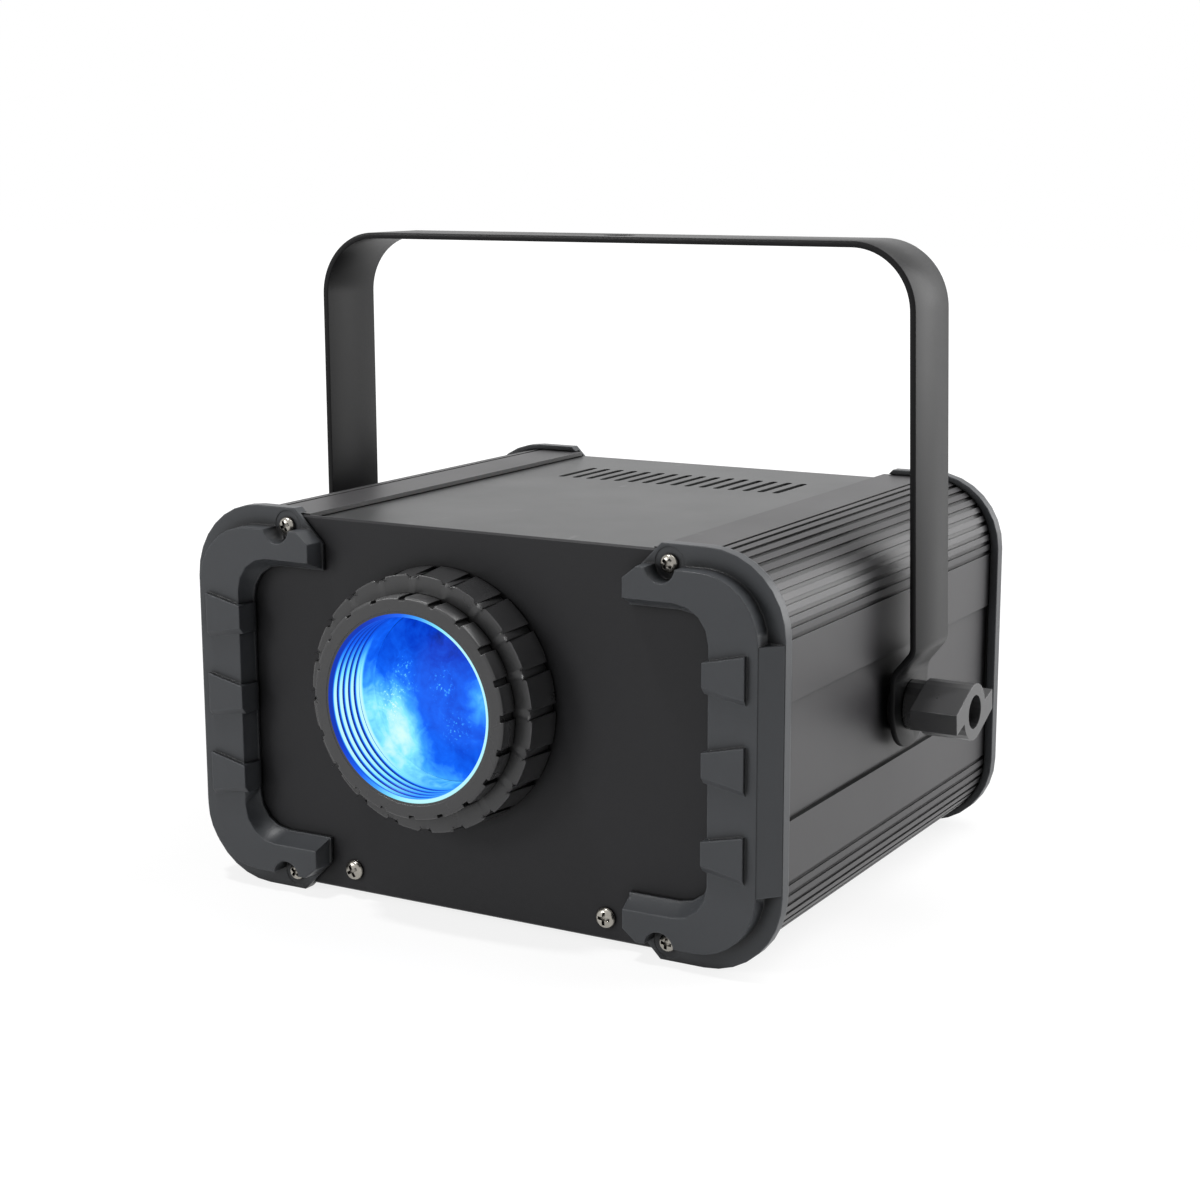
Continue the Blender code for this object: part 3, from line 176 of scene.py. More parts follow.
# 1 on open faces, 0 deep in grooves, slots and corners; it masks the shade painted into the base colour
# there
def paintedShadeOpenness(wire, reach, low, high):
    return wire.node("AmbientOcclusion", {"Distance": reach}, out="AO", samples=6).rise(low, high)


# likeness of the rounded and the flat normal: edges wholly lightened, by wear and as a painted highlight,
# up to the first, untouched from the second
wornAndHighlitEdge = (0.86, 0.99)


# 1 along the outer edges, where hands and cases rub; they are lightened as wear and as a painted highlight
def edgeWearAndHighlight(wire, edge, unshaded):
    flat = wire.node("NewGeometry", out="Normal")
    likeness = wire.node("VectorMath", {0: edge, 1: flat}, out="Value", operation="DOT_PRODUCT")
    return (1 - likeness.rise(*wornAndHighlitEdge)) * unshaded


# ---- finishes: colours from 0 to 255; grain, its depth, edge radius, reach, cloud and rub in millimetres;
# the openness range gives where the shade painted into grooves and corners is full, and where it has gone
paints = {
    "extrusion": {"colour": (44, 43, 45), "rough": 0.42, "gloss": 0.45, "wearAndHighlight": 0.3, "paintedShadeRange": (0.62, 0.97)},
    "painted_sheet": {
        "colour": (42, 43, 44),
        "rough": 0.36,
        "gloss": 0.4,
        "wearAndHighlight": 0.2,
        "paintedShadeRange": (0.68, 0.97),
    },
    # the front panel: the top sheet's powder coat set darker, a painted shade for the front face
    "painted_panel": {"colour": (36, 36, 38), "rough": 0.45, "gloss": 0.2},
    "moulded_plastic": {"colour": (62, 64, 67), "rough": 0.38, "gloss": 0.3, "grain": 0.45, "edge": 0.9},
    "black_plastic": {
        "colour": (54, 54, 55),
        "rough": 0.28,
        "gloss": 0.5,
        "grain": 0.4,
        "edge": 0.4,
        "wearAndHighlight": 0.95,
    },
    "painted_steel": {"colour": (16, 16, 17), "rough": 0.36, "gloss": 0.14, "edge": 0.4},
    "rubber": {"colour": (28, 28, 28), "rough": 0.8, "gloss": 0.2, "grain": 0.3},
}
# deep is the share of a colour left in full painted shade, bare the lightened share on edges, for wear and
# as a painted highlight
usualLook = {
    "grain": 0.5,
    "depth": 0.03,
    "edge": 0.2,
    "reach": 6,
    "paintedShadeRange": (0.5, 0.94),
    "wearAndHighlight": 0.45,
    "cloud": 35,
    "cloudShare": 0.6,
    "cloudRough": 0.08,
    "rub": 9,
    "rubFrom": (0.66, 0.8),
    "rubShine": 0.1,
    "wornShine": 0.12,
    "dark": 0.86,
    "light": 1.12,
    "deep": 0.1,
    "bare": 2.6,
}
for look in paints.values():
    for key, usual in usualLook.items():
        look.setdefault(key, usual)


# paint or moulded plastic: a fine grain, faint clouding, polished rubs, painted shade in grooves and
# corners, and edges lightened by wear and as a painted highlight
def grainedFinish(name, look):
    material, wire, shader = newFinish(name, {"Specular IOR Level": look["gloss"]})
    place = objectPlace(wire)
    grain = noise(wire, place, look["grain"] * mm, detail=2.0)
    cloud = noise(wire, place, look["cloud"] * mm, detail=4.0)
    smears = noise(wire, place, look["rub"] * mm, detail=6.0, stretch=(1, 0.35, 1))
    rubs = smears.rise(*look["rubFrom"])
    edge = relief(shader, grain, look["depth"] * mm, look["edge"] * mm)
    unshaded = paintedShadeOpenness(wire, look["reach"] * mm, *look["paintedShadeRange"])
    ofCloud, ofRest = look["cloudShare"], 1 - look["cloudShare"]
    wornAndHighlit = edgeWearAndHighlight(wire, edge, unshaded) * (cloud * ofCloud + ofRest) * look["wearAndHighlight"]
    colour = shade(*look["colour"])
    dark, light, deep, bare = (tinted(colour, look[key]) for key in ("dark", "light", "deep", "bare"))
    even = wire.mixed(cloud * ofCloud + grain * ofRest, dark, light)
    # the base colour: shade painted into grooves and corners, and edges lightened by wear and as a painted
    # highlight
    feed(shader, "Base Color", wire.mixed(wornAndHighlit, wire.mixed(unshaded, deep, even), bare))
    rough = cloud * look["cloudRough"] + (look["rough"] - look["cloudRough"] / 2)
    feed(shader, "Roughness", rough - rubs * look["rubShine"] - wornAndHighlit * look["wornShine"])
    return material


metals = {
    "bright_steel": {"colour": (172, 168, 160), "rough": 0.26, "lines": (1, 1, 1)},
    "bare_aluminium": {"colour": (200, 201, 204), "rough": 0.36, "lines": (1, 0.05, 1)},
    "motor_steel": {"colour": (185, 185, 182), "rough": 0.32, "lines": (0.1, 1, 0.1)},
    "brass": {"colour": (196, 158, 92), "rough": 0.3, "lines": (0.1, 1, 1)},
}
# deep is the share of a metal's colour left in the shade painted into its hollows
metalLook = {
    "line": 0.35,
    "lineRough": 0.16,
    "depth": 0.015,
    "edge": 0.2,
    "tarnish": 12,
    "tarnishFrom": (0.35, 0.75),
    "tarnishRough": 0.1,
    "reach": 1.5,
    "paintedShadeRange": (0.4, 0.85),
    "dull": 0.72,
    "deep": 0.04,
}


# bare metal: drawn or turned lines, a light tarnish, and shade painted into its hollows, such as a screw's
# cross
def metalFinish(name, look):
    material, wire, shader = newFinish(name, {"Metallic": 1.0})
    place = objectPlace(wire)
    lines = noise(wire, place, metalLook["line"] * mm, detail=3.0, stretch=look["lines"])
    tarnish = noise(wire, place, metalLook["tarnish"] * mm, detail=5.0)
    colour = shade(*look["colour"])
    dull, deep = (tinted(colour, metalLook[key]) for key in ("dull", "deep"))
    unshaded = paintedShadeOpenness(wire, metalLook["reach"] * mm, *metalLook["paintedShadeRange"])
    even = wire.mixed(tarnish.rise(*metalLook["tarnishFrom"]), dull, colour)
    # darker in hollows: painted shade
    feed(shader, "Base Color", wire.mixed(unshaded, deep, even))
    rough = look["rough"] - (metalLook["lineRough"] + metalLook["tarnishRough"]) / 2
    feed(shader, "Roughness", lines * metalLook["lineRough"] + tarnish * metalLook["tarnishRough"] + rough)
    relief(shader, lines, metalLook["depth"] * mm, metalLook["edge"] * mm)
    return material


waterGlass = {"ripple": {"Scale": 60.0, "Detail": 1.0, "Distortion": 1.6}, "depth": 1.2}


# glass with a water ripple on it, for the condenser and the two ripple discs
def rippledGlass(name):
    settings = {"Base Color": (0.82, 0.93, 1.0, 1), "Roughness": 0.03}
    material, wire, shader = newFinish(name, {**settings, "Transmission Weight": 1.0, "IOR": 1.5})
    warped = wire.node("TexNoise", {"Vector": objectPlace(wire), **waterGlass["ripple"]})
    feed(shader, "Normal", warped.node("Bump", {"Height": warped, "Distance": waterGlass["depth"] * mm}))
    return material


# where the middle of the wheel is across, in millimetres, and the colours round it
colourWheel = {
    "middle": 26.6,
    "segments": 8,
    "stops": (
        (0.0, shade(20, 60, 200)),
        (0.3, shade(10, 150, 190)),
        (0.6, shade(30, 160, 70)),
        (1.0, shade(90, 40, 190)),
    ),
}


# dichroic segments round the wheel
def filterGlass(name):
    settings = {"Roughness": 0.05, "Coat Weight": 1.0, "Coat Roughness": 0.02, "Specular IOR Level": 0.8}
    material, wire, shader = newFinish(name, settings)
    place = objectPlace(wire)
    up = along(place, "Z") - centreZ / mm
    across = along(place, "X") - colourWheel["middle"]
    angle = wire.maths("ARCTAN2", up, across) / (2 * pi) + 0.5
    step = wire.maths("FLOOR", angle * colourWheel["segments"]) / colourWheel["segments"]
    feed(shader, "Base Color", step.node("ValToRGB", {0: step}, stops=colourWheel["stops"]))
    return material


circuitLook = {
    "mask": (16, 70, 40),
    "track": (38, 108, 62),
    "cells": 260.0,
    "trackFrom": (0.42, 0.5),
    "depth": 0.03,
    "edge": 0.15,
}


# green solder mask with copper tracks under it
def circuitFinish(name):
    material, wire, shader = newFinish(name, {"Roughness": 0.35})
    sockets = {"Vector": objectPlace(wire), "Scale": circuitLook["cells"]}
    tracks = wire.node("TexVoronoi", sockets, distance="MANHATTAN").rise(*circuitLook["trackFrom"])
    mask, track = (shade(*circuitLook[key]) for key in ("mask", "track"))
    feed(shader, "Base Color", wire.mixed(tracks, mask, track))
    relief(shader, tracks, circuitLook["depth"] * mm, circuitLook["edge"] * mm)
    return material


# in millimetres: the middle of the window over the digits, where its edge begins and ends, and smudges
displayLook = {
    "middle": (38, 112),
    "across": (15.5, 16),
    "up": (6, 6.4),
    "frame": (26, 20, 21),
    "digits": (70, 16, 18),
    "smudge": 8,
    "smudgeRough": 0.12,
    "rough": 0.06,
}


# smoked window with the dull red of an unlit display under it
def displayFinish(name):
    material, wire, shader = newFinish(name, {"Coat Weight": 0.6, "Coat Roughness": 0.05})
    place = objectPlace(wire)
    fromMiddle = wire.maths("ABSOLUTE", along(place, "X") - displayLook["middle"][0])
    fromLevel = wire.maths("ABSOLUTE", along(place, "Z") - displayLook["middle"][1])
    inside = (1 - fromMiddle.rise(*displayLook["across"])) * (1 - fromLevel.rise(*displayLook["up"]))
    smudge = noise(wire, place, displayLook["smudge"] * mm, detail=4.0)
    frameColour, digits = (shade(*displayLook[key]) for key in ("frame", "digits"))
    feed(shader, "Base Color", wire.mixed(inside, frameColour, digits))
    feed(shader, "Roughness", smudge * displayLook["smudgeRough"] + displayLook["rough"])
    return material


# the colours of the painted blue light that glows from a surface: 0 is deep blue, 1 near white
lightStops = (
    (0.0, shade(0, 22, 105)),
    (0.16, shade(2, 58, 200)),
    (0.4, shade(16, 100, 248)),
    (0.6, shade(62, 165, 255)),
    (0.8, shade(135, 235, 255)),
    (1.0, shade(215, 255, 248)),
)


# a surface that glows with light painted in place of the beam; amount works it out from x, y, z in
# millimetres about the lens axis
def litFinish(name, amount, roughness):
    settings = {"Base Color": (0.004, 0.01, 0.03, 1), "Emission Strength": 1.0, "Specular IOR Level": 0.1}
    material, wire, shader = newFinish(name, {**settings, "Roughness": roughness})
    place = objectPlace(wire)
    x = along(place, "X") - centreX / mm
    y = along(place, "Y")
    z = along(place, "Z") - centreZ / mm
    light = amount(wire, place, x, y, z)
    feed(shader, "Emission Color", light.node("ValToRGB", {0: light}, stops=lightStops))
    return material


# a soft oval patch: 1 in its middle, 0 at its rim
def patch(wire, x, z, middle, size):
    wide = (x - middle[0]) / size[0]
    tall = (z - middle[1]) / size[1]
    return 1 - wire.maths("SQRT", wide * wide + tall * tall).rise(0.0, 1.0)


# the light painted on the lens as a glow: a water pattern, soft patches and sparkling spots painted as
# glints, in millimetres about its axis
lensLook = {
    "water": {"Scale": 110.0, "Detail": 4.0, "Distortion": 1.2},
    "ripple": {"Scale": 330.0, "Detail": 3.0, "Distortion": 0.6},
    "fine": {"Scale": 900.0, "Detail": 2.0},
    "waterLight": 0.36,
    "rippleLight": 0.18,
    "base": 0.06,
    "patches": (
        {"middle": (-23, -12), "size": (20, 25), "light": 0.55},
        {"middle": (-18, -24), "size": (17, 18), "light": 0.34},
        {"middle": (-35, -6), "size": (9, 22), "light": 0.2},
        {"middle": (-4, -36), "size": (26, 13), "light": 0.3},
        {"middle": (18, 0), "size": (9, 16), "light": 0.3},
        {"middle": (4, 28), "size": (44, 26), "light": -0.24},
    ),
    "spots": ((-25, -5), (-17, 7), (1, 5), (7, -12)),
    "spotSize": (9, 12),
    "sparkFrom": (0.56, 0.7),
    "spark": 0.34,
}


def lensLight(wire, place, x, y, z):
    keys = ("water", "ripple", "fine")
    water, ripple, fine = (wire.node("TexNoise", {"Vector": place, **lensLook[key]}) for key in keys)
    light = water * lensLook["waterLight"] + ripple * lensLook["rippleLight"] + lensLook["base"]
    for spot in lensLook["patches"]:
        light = light + patch(wire, x, z, spot["middle"], spot["size"]) * spot["light"]
    spots = [patch(wire, x, z, spot, lensLook["spotSize"]) for spot in lensLook["spots"]]
    where = sum(spots[1:], spots[0])
    return light + fine.rise(*lensLook["sparkFrom"]) * where * lensLook["spark"]


# the light painted in the bore and on its lip as a glow, with depths in millimetres from the front;
# angles are in radians about the axis, from the left in the bore and from the right on the lip
boreLook = {
    "mouth": (1.4, 2.0),
    "groove": (0.7, 1.4),
    "lastGroove": (19.6, 20.0),
    "above": (-0.05, 0.95),
    "below": (0.5, 1.9),
    "belowLoss": 0.55,
    "crest": 0.7,
    "wall": 0.2,
    "base": 0.04,
    "lens": (20.6, 21.6),
    "lensLift": 0.05,
}
lipLook = {"middle": -0.3, "fade": (1.1, 2.5), "bright": 0.8, "base": 0.11}


# the ridged bore, painted as a glow: bright crests between thin dark grooves, brightest at the left and
# below;
# the plain wall behind the ridges goes over into the painted light of the lens
def boreLight(wire, place, x, y, z):
    angle = wire.maths("ARCTAN2", z, x * -1.0)
    depth = y - lensCellShape["front"] / mm
    fromFirst = depth - barrelShape["ridgeStart"] / mm
    fromCrest = wire.maths("PINGPONG", fromFirst, barrelShape["ridgePitch"] / mm / 2)
    groove = fromCrest.rise(*boreLook["groove"]) * (1 - depth.rise(*boreLook["lastGroove"]))
    under = 1 - (angle * -1.0).rise(*boreLook["below"]) * boreLook["belowLoss"]
    reach = (1 - angle.rise(*boreLook["above"])) * under
    lit = (1 - groove) * depth.rise(*boreLook["mouth"])
    ridged = lit * (reach * boreLook["crest"] + boreLook["wall"]) + boreLook["base"]
    deep = depth.rise(*boreLook["lens"])
    return ridged * (1 - deep) + (lensLight(wire, place, x, y, z) + boreLook["lensLift"]) * deep


# the bevelled lip round the mouth of the bore, painted as a glow, brightest at the right
def lipLight(wire, place, x, y, z):
    angle = wire.maths("ARCTAN2", z, x)
    right = 1 - wire.maths("ABSOLUTE", angle - lipLook["middle"]).rise(*lipLook["fade"])
    return right * lipLook["bright"] + lipLook["base"]


# ---- shaping by hand: helpers
shaping = {"merge": 0.000002, "smooth": radians(32), "bevelSteps": 2}


def deselect():
    if bpy.context.object and bpy.context.object.mode != "OBJECT":
        bpy.ops.object.mode_set(mode="OBJECT")
    bpy.ops.object.select_all(action="DESELECT")


# selects the faces, edges or vertices of the piece in edit mode that pass a test
def choose(piece, kind, test):
    bpy.ops.mesh.select_all(action="DESELECT")
    bpy.ops.mesh.select_mode(type=kind)
    shape = bmesh.from_edit_mesh(piece.data)
    for item in {"FACE": shape.faces, "EDGE": shape.edges, "VERT": shape.verts}[kind]:
        if test(item):
            item.select_set(True)
    shape.select_flush_mode()
    bmesh.update_edit_mesh(piece.data)


def closeUp():
    bpy.ops.mesh.select_mode(type="VERT")
    bpy.ops.mesh.select_all(action="SELECT")
    bpy.ops.mesh.remove_doubles(threshold=shaping["merge"])
    bpy.ops.mesh.normals_make_consistent(inside=False)
    bpy.ops.object.mode_set(mode="OBJECT")
    bpy.ops.object.transform_apply(location=True, rotation=True, scale=True)
    bpy.ops.object.shade_smooth_by_angle(angle=shaping["smooth"])


def applyBevel(piece, width, angle):
    rounding = piece.modifiers.new("rounding", "BEVEL")
    rounding.width = width
    rounding.segments = shaping["bevelSteps"]
    rounding.limit_method = "ANGLE"
    rounding.angle_limit = angle
    bpy.ops.object.modifier_apply(modifier=rounding.name)
    bpy.ops.object.shade_smooth_by_angle(angle=angle)


# cuts the cutter out of the piece, and removes it
def cutOut(piece, cutter):
    bpy.context.view_layer.objects.active = piece
    cut = piece.modifiers.new("cut", "BOOLEAN")
    cut.object = cutter
    cut.operation = "DIFFERENCE"
    bpy.ops.object.modifier_apply(modifier=cut.name)
    bpy.data.objects.remove(cutter)


# draws a profile of (radius, depth) points from one vertex, then spins it about a line along Y
def spunPiece(name, profile, middle, steps):
    points = [Vector((middle[0] + radius, depth, middle[1])) for radius, depth in profile]
    deselect()
    bpy.ops.mesh.primitive_plane_add(size=mm, location=points[0])
    piece = bpy.context.object
    piece.name = name
    bpy.ops.object.mode_set(mode="EDIT")
    bpy.ops.mesh.select_all(action="SELECT")
    bpy.ops.mesh.merge(type="CENTER")
    for here, after in zip(points, points[1:]):
        bpy.ops.mesh.extrude_region_move(TRANSFORM_OT_translate={"value": after - here})
    bpy.ops.mesh.select_all(action="SELECT")
    bpy.ops.mesh.spin(steps=steps, angle=2 * pi, center=(middle[0], 0, middle[1]), axis=(0, 1, 0))
    closeUp()
    return piece


def dress(piece, body, slotName, *materials):
    piece.data.materials.clear()
    for material in materials:
        piece.data.materials.append(material)
    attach(piece, body)


finishes = {name: grainedFinish(name, look) for name, look in paints.items()}
finishes.update({name: metalFinish(name, look) for name, look in metals.items()})
finishes["clear_glass"] = rippledGlass("clear_glass")
finishes["filter_glass"] = filterGlass("filter_glass")
finishes["circuit_board"] = circuitFinish("circuit_board")
finishes["display"] = displayFinish("display")
# the lens glass glows with painted light, with no lamp behind it
finishes["blue_glass"] = litFinish("blue_glass", lensLight, 0.3)
print("finishes ready")

# every CAD node takes the finish of its slot
for part in frame["record"]["subparts"]:
    node = nodes[part["node"]]
    node.data.materials.clear()
    node.data.materials.append(finishes[part["material_slot"]])


# ---- objective lens
lensShape = {"radius": 0.034, "edge": 0.003, "bulge": 0.005, "middle": -0.0965, "rings": 14, "steps": 96}


def makeLens(shape):
    sphere = (shape["radius"] ** 2 + shape["bulge"] ** 2) / (2 * shape["bulge"])
    half = []
    for ring in range(shape["rings"] + 1):
        reach = shape["radius"] * ring / shape["rings"]
        half.append((reach, shape["bulge"] - sphere + (sphere**2 - reach**2) ** 0.5))
    front = [(reach, shape["middle"] - shape["edge"] / 2 - sag) for reach, sag in half]
    back = [(reach, shape["middle"] + shape["edge"] / 2 + sag) for reach, sag in reversed(half)]
    lens = spunPiece("lens_glass", front + back, (centreX, centreZ), shape["steps"])
    dress(lens, "lens_cell", "blue_glass", finishes["blue_glass"])
    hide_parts("objective_lens")


makeLens(lensShape)
print("lens made")


# ---- knurled rings: pads stand round a ring, with shallow gaps between
knurling = {
    "pads": 20,
    "stepsPerPad": 10,
    "share": 0.8,
    "turn": radians(4),
    "knurl": 0.0014,
    "raised": 0.3,
    "sharp": 0.5,
    "chamferSteps": 2,
    "rounding": 0.00025,
    "smooth": radians(40),
}


def knurledRing(name, shape):
    pads = shape["pads"]
    each = shape["stepsPerPad"]
    low = shape["radius"] - shape["knurl"]
    deselect()
    bpy.ops.mesh.primitive_cylinder_add(
        vertices=pads * each,
        radius=low,
        depth=shape["back"] - shape["front"],
        end_fill_type="NOTHING",
        location=(centreX, (shape["front"] + shape["back"]) / 2, centreZ),
        rotation=(pi / 2, 0, 0),
    )
    ring = bpy.context.object
    ring.name = name
    bpy.ops.object.transform_apply(location=True, rotation=True, scale=True)
    bpy.ops.object.mode_set(mode="EDIT")

    def onPad(face):
        middle = face.calc_center_median()
        turn = (atan2(middle.z - centreZ, middle.x - centreX) - shape["turn"]) % (2 * pi / pads)
        return turn < 2 * pi / pads * shape["share"]

    axis = (centreX, 0, centreZ)
    grow = shape["radius"] / low
    choose(ring, "FACE", onPad)
    bpy.ops.mesh.extrude_region_move(TRANSFORM_OT_translate={"value": (0, 0, 0)})
    bpy.ops.transform.resize(value=(grow, 1, grow), center_override=axis)

    def fromAxis(vert):
        return ((vert.co.x - centreX) ** 2 + (vert.co.z - centreZ) ** 2) ** 0.5

    def atFront(vert):
        return vert.co.y < shape["front"] + near

    # the pads get smaller towards the front
    slim = (shape["radius"] - shape["taper"]) / shape["radius"]
    choose(ring, "VERT", lambda vert: fromAxis(vert) > low + shape["knurl"] / 2 and atFront(vert))
    bpy.ops.transform.resize(value=(slim, 1, slim), center_override=axis)

    # the two end faces, then the bore
    def isOpen(edge):
        return len(edge.link_faces) == 1

    def atDepth(edge, depth):
        return all(abs(vert.co.y - depth) < near for vert in edge.verts)

    narrow = shape["bore"] / low
    for depth in (shape["front"], shape["back"]):
        choose(ring, "EDGE", lambda edge: isOpen(edge) and atDepth(edge, depth))
        bpy.ops.mesh.extrude_region_move(TRANSFORM_OT_translate={"value": (0, 0, 0)})
        bpy.ops.transform.resize(value=(narrow, 1, narrow), center_override=axis)
    choose(ring, "EDGE", isOpen)
    bpy.ops.mesh.bridge_edge_loops()

    # the front edges of the pads, chamfered
    def onPadFront(edge):
        raised = low + shape["knurl"] * shape["raised"] - shape["taper"]
        return all(fromAxis(vert) > raised and atFront(vert) for vert in edge.verts)

    def isSharp(edge):
        return len(edge.link_faces) == 2 and edge.calc_face_angle(0) > shape["sharp"]

    choose(ring, "EDGE", lambda edge: onPadFront(edge) and isSharp(edge))
    bpy.ops.mesh.bevel(offset=shape["chamfer"], segments=shape["chamferSteps"], profile=0.5)
    closeUp()
    applyBevel(ring, shape["rounding"], shape["smooth"])
    return ring


focusRingShape = {
    **knurling,
    "radius": 0.05,
    "bore": 0.0403,
    "front": -0.1167,
    "back": -0.1007,
    "taper": 0.0016,
    "chamfer": 0.0011,
}
focusRing = knurledRing("focus_ring_knurled", focusRingShape)
dress(focusRing, "focus_ring", "black_plastic", finishes["black_plastic"])
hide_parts("focus_ring")
print("focus ring made")

lensCellShape = {
    **knurling,
    "radius": 0.0424,
    "bore": 0.0368,
    "front": -0.1253,
    "back": -0.117,
    "taper": 0.0,
    "chamfer": 0.0008,
}
# each profile is a list of radius and depth: the lip's counts from its edge and from the front, the wall's
# depth from the front, the ridge's are shares of its height and of half the pitch, the seat's are as built
barrelShape = {
    "mouth": 0.0358,
    "setBack": 0.0002,
    "lip": 0.0346,
    "lipProfile": ((0.0004, 0.0005), (0, 0.0008), (0.0002, 0.0011)),
    "lipEnd": 0.0009,
    "ridges": 5,
    "ridgeStart": 0.0031,
    "ridgePitch": 0.0036,
    "ridgeDepth": 0.0012,
    "ridgeProfile": ((1, -0.92), (0.25, -0.5), (0, 0), (0.25, 0.5), (1, 0.92)),
    "wallProfile": ((0.0358, 0.0204), (0.0345, 0.0225), (0.0343, 0.023)),
    "litEnd": 0.001,
    "seatProfile": ((0.0343, -0.0903), (0.0319, -0.0903), (0.0319, -0.0879), (0.0377, -0.0879)),
    "steps": 128,
    "rough": 0.35,
}


# the lip, the ridged bore and the barrel of the lens cell, one turned shell with three finishes
def makeCellBarrel(shape, front):
    mouth, seat = shape["mouth"], shape["seatProfile"]
    start = front + shape["setBack"]
    profile = [(seat[-1][0], start), (mouth + shape["setBack"], start)]
    profile += [(shape["lip"] + out, front + deep) for out, deep in shape["lipProfile"]]
    for ridge in range(shape["ridges"]):
        crest = front + shape["ridgeStart"] + ridge * shape["ridgePitch"]
        half = shape["ridgePitch"] / 2
        for drop, offset in shape["ridgeProfile"]:
            profile.append((mouth - shape["ridgeDepth"] * (1 - drop), crest + offset * half))
    profile += [(radius, front + deep) for radius, deep in shape["wallProfile"]]
    profile += [(seat[0][0], lensShape["middle"] - shape["litEnd"]), *seat, profile[0]]
    barrel = spunPiece("lens_cell_barrel", profile, (centreX, centreZ), shape["steps"])
    black = finishes["black_plastic"]
    lit = litFinish("bore_light", boreLight, shape["rough"])
    lip = litFinish("lip_light", lipLight, shape["rough"])
    dress(barrel, "lens_cell", "black_plastic", black, lit, lip)
    for face in barrel.data.polygons:
        reach = ((face.center.x - centreX) ** 2 + (face.center.z - centreZ) ** 2) ** 0.5
        if reach < mouth + near and face.center.y < lensShape["middle"]:
            face.material_index = 2 if face.center.y < front + shape["lipEnd"] else 1
    return barrel


cellRing = knurledRing("lens_cell_ring", lensCellShape)
dress(cellRing, "lens_cell", "black_plastic", finishes["black_plastic"])
cellBarrel = makeCellBarrel(barrelShape, lensCellShape["front"])
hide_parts("lens_cell")
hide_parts("lens_cell")
print("lens cell made")


# ---- cross-head screws: one of each size made at the origin, and copied to each place
screwShape = {
    "steps": 36,
    "gap": 0.0003,
    "height": 0.0023,
    "recess": 0.00125,
    "arm": 0.62,
    "deep": 0.0026,
    "crown": ((0, 0), (0.35, 0.00006), (0.6, 0.00025), (0.8, 0.0006), (0.94, 0.0012), (1, 0.0019)),
    "underHead": 0.98,
    "smooth": radians(30),
    "firstTurn": 0.3,
    "turnStep": 0.55,
}
screwKinds = {
    "panel_screw": {"head": 0.004, "shank": 0.002, "length": 0.008},
    "bumper_screw": {"head": 0.0035, "shank": 0.0016, "length": 0.014},
}
screwPlaces = {
    "panel_screw_left": (-0.0574, -0.0999, 0.0114),
    "panel_screw_right": (0.0574, -0.0999, 0.0114),
}
for end, depth in (("front", -0.1014), ("rear", 0.1152)):
    for side, across in (("left", -0.0845), ("right", 0.0845)):
        for level, up in (("lower", 0.0071), ("upper", 0.1479)):
            screwPlaces[f"bumper_screw_{end}_{side}_{level}"] = (across, depth, up)


def makeScrew(shape, kind):
    head, shank, length = kind["head"], kind["shank"], kind["length"]
    under = -shape["gap"]
    top = under - shape["height"]
    profile = [(reach * head, top + drop) for reach, drop in shape["crown"]]
    profile += [(shape["underHead"] * head, under), (shank, under), (shank, length), (0, length)]
    screw = spunPiece("screw", profile, (0, 0), shape["steps"])
    for turn in (pi / 4, -pi / 4):
        deselect()
        bpy.ops.mesh.primitive_cube_add(size=1, location=(0, top, 0))
        cutter = bpy.context.object
        cutter.scale = (2 * shape["arm"] * head, shape["deep"], shape["recess"])
        bpy.ops.object.transform_apply(location=False, rotation=False, scale=True)
        cutter.rotation_euler = (0, turn, 0)
        cutOut(screw, cutter)
    deselect()
    screw.select_set(True)
    bpy.ops.object.shade_smooth_by_angle(angle=shape["smooth"])
    return screw


# a copy with its own mesh, turned about its axis and, at the back, turned round
def placeCopy(pattern, name, place, facing, turn):
    deselect()
    bpy.context.view_layer.objects.active = pattern
    pattern.select_set(True)
    bpy.ops.object.duplicate()
    piece = bpy.context.object
    piece.name = name
    piece.rotation_euler = (0, turn, pi if facing > 0 else 0)
    piece.location = place
    bpy.ops.object.transform_apply(location=True, rotation=True, scale=True)
    return piece


def placeScrews():
    turn = screwShape["firstTurn"]
    for stem, kind in screwKinds.items():
        pattern = makeScrew(screwShape, kind)
        for node, place in screwPlaces.items():
            if node.startswith(stem):
                screw = placeCopy(pattern, node + "_turned", place, place[1], turn)
                dress(screw, "housing", "bright_steel", finishes["bright_steel"])
                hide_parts(node)
                turn += screwShape["turnStep"]
        bpy.data.objects.remove(pattern)


placeScrews()
print("screws placed")


# ---- bumpers: the mouldings of the frame, their facets merged into smooth corners
bumperShape = {"merge": 0.00002, "flat": radians(0.5), "smooth": radians(26), "weight": 100}


def makeBumper(node, shape):
    deselect()
    bumper = bpy.data.objects.new(node + "_moulding", nodes[node].data.copy())
    bpy.context.scene.collection.objects.link(bumper)
    bumper.select_set(True)
    bpy.context.view_layer.objects.active = bumper
    bpy.ops.object.mode_set(mode="EDIT")
    bpy.ops.mesh.select_all(action="SELECT")
    bpy.ops.mesh.remove_doubles(threshold=shape["merge"])
    bpy.ops.mesh.dissolve_limited(angle_limit=shape["flat"])
    bpy.ops.object.mode_set(mode="OBJECT")
    bpy.ops.object.shade_smooth_by_angle(angle=shape["smooth"])
    even = bumper.modifiers.new("even", "WEIGHTED_NORMAL")
    even.keep_sharp = True
    even.weight = shape["weight"]
    bpy.ops.object.modifier_apply(modifier=even.name)
    dress(bumper, "housing", "moulded_plastic", finishes["moulded_plastic"])
    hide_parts(node)


for end in ("front", "rear"):
    for side in ("left", "right"):
        makeBumper(f"{end}_bumper_{side}", bumperShape)
print("bumpers made")


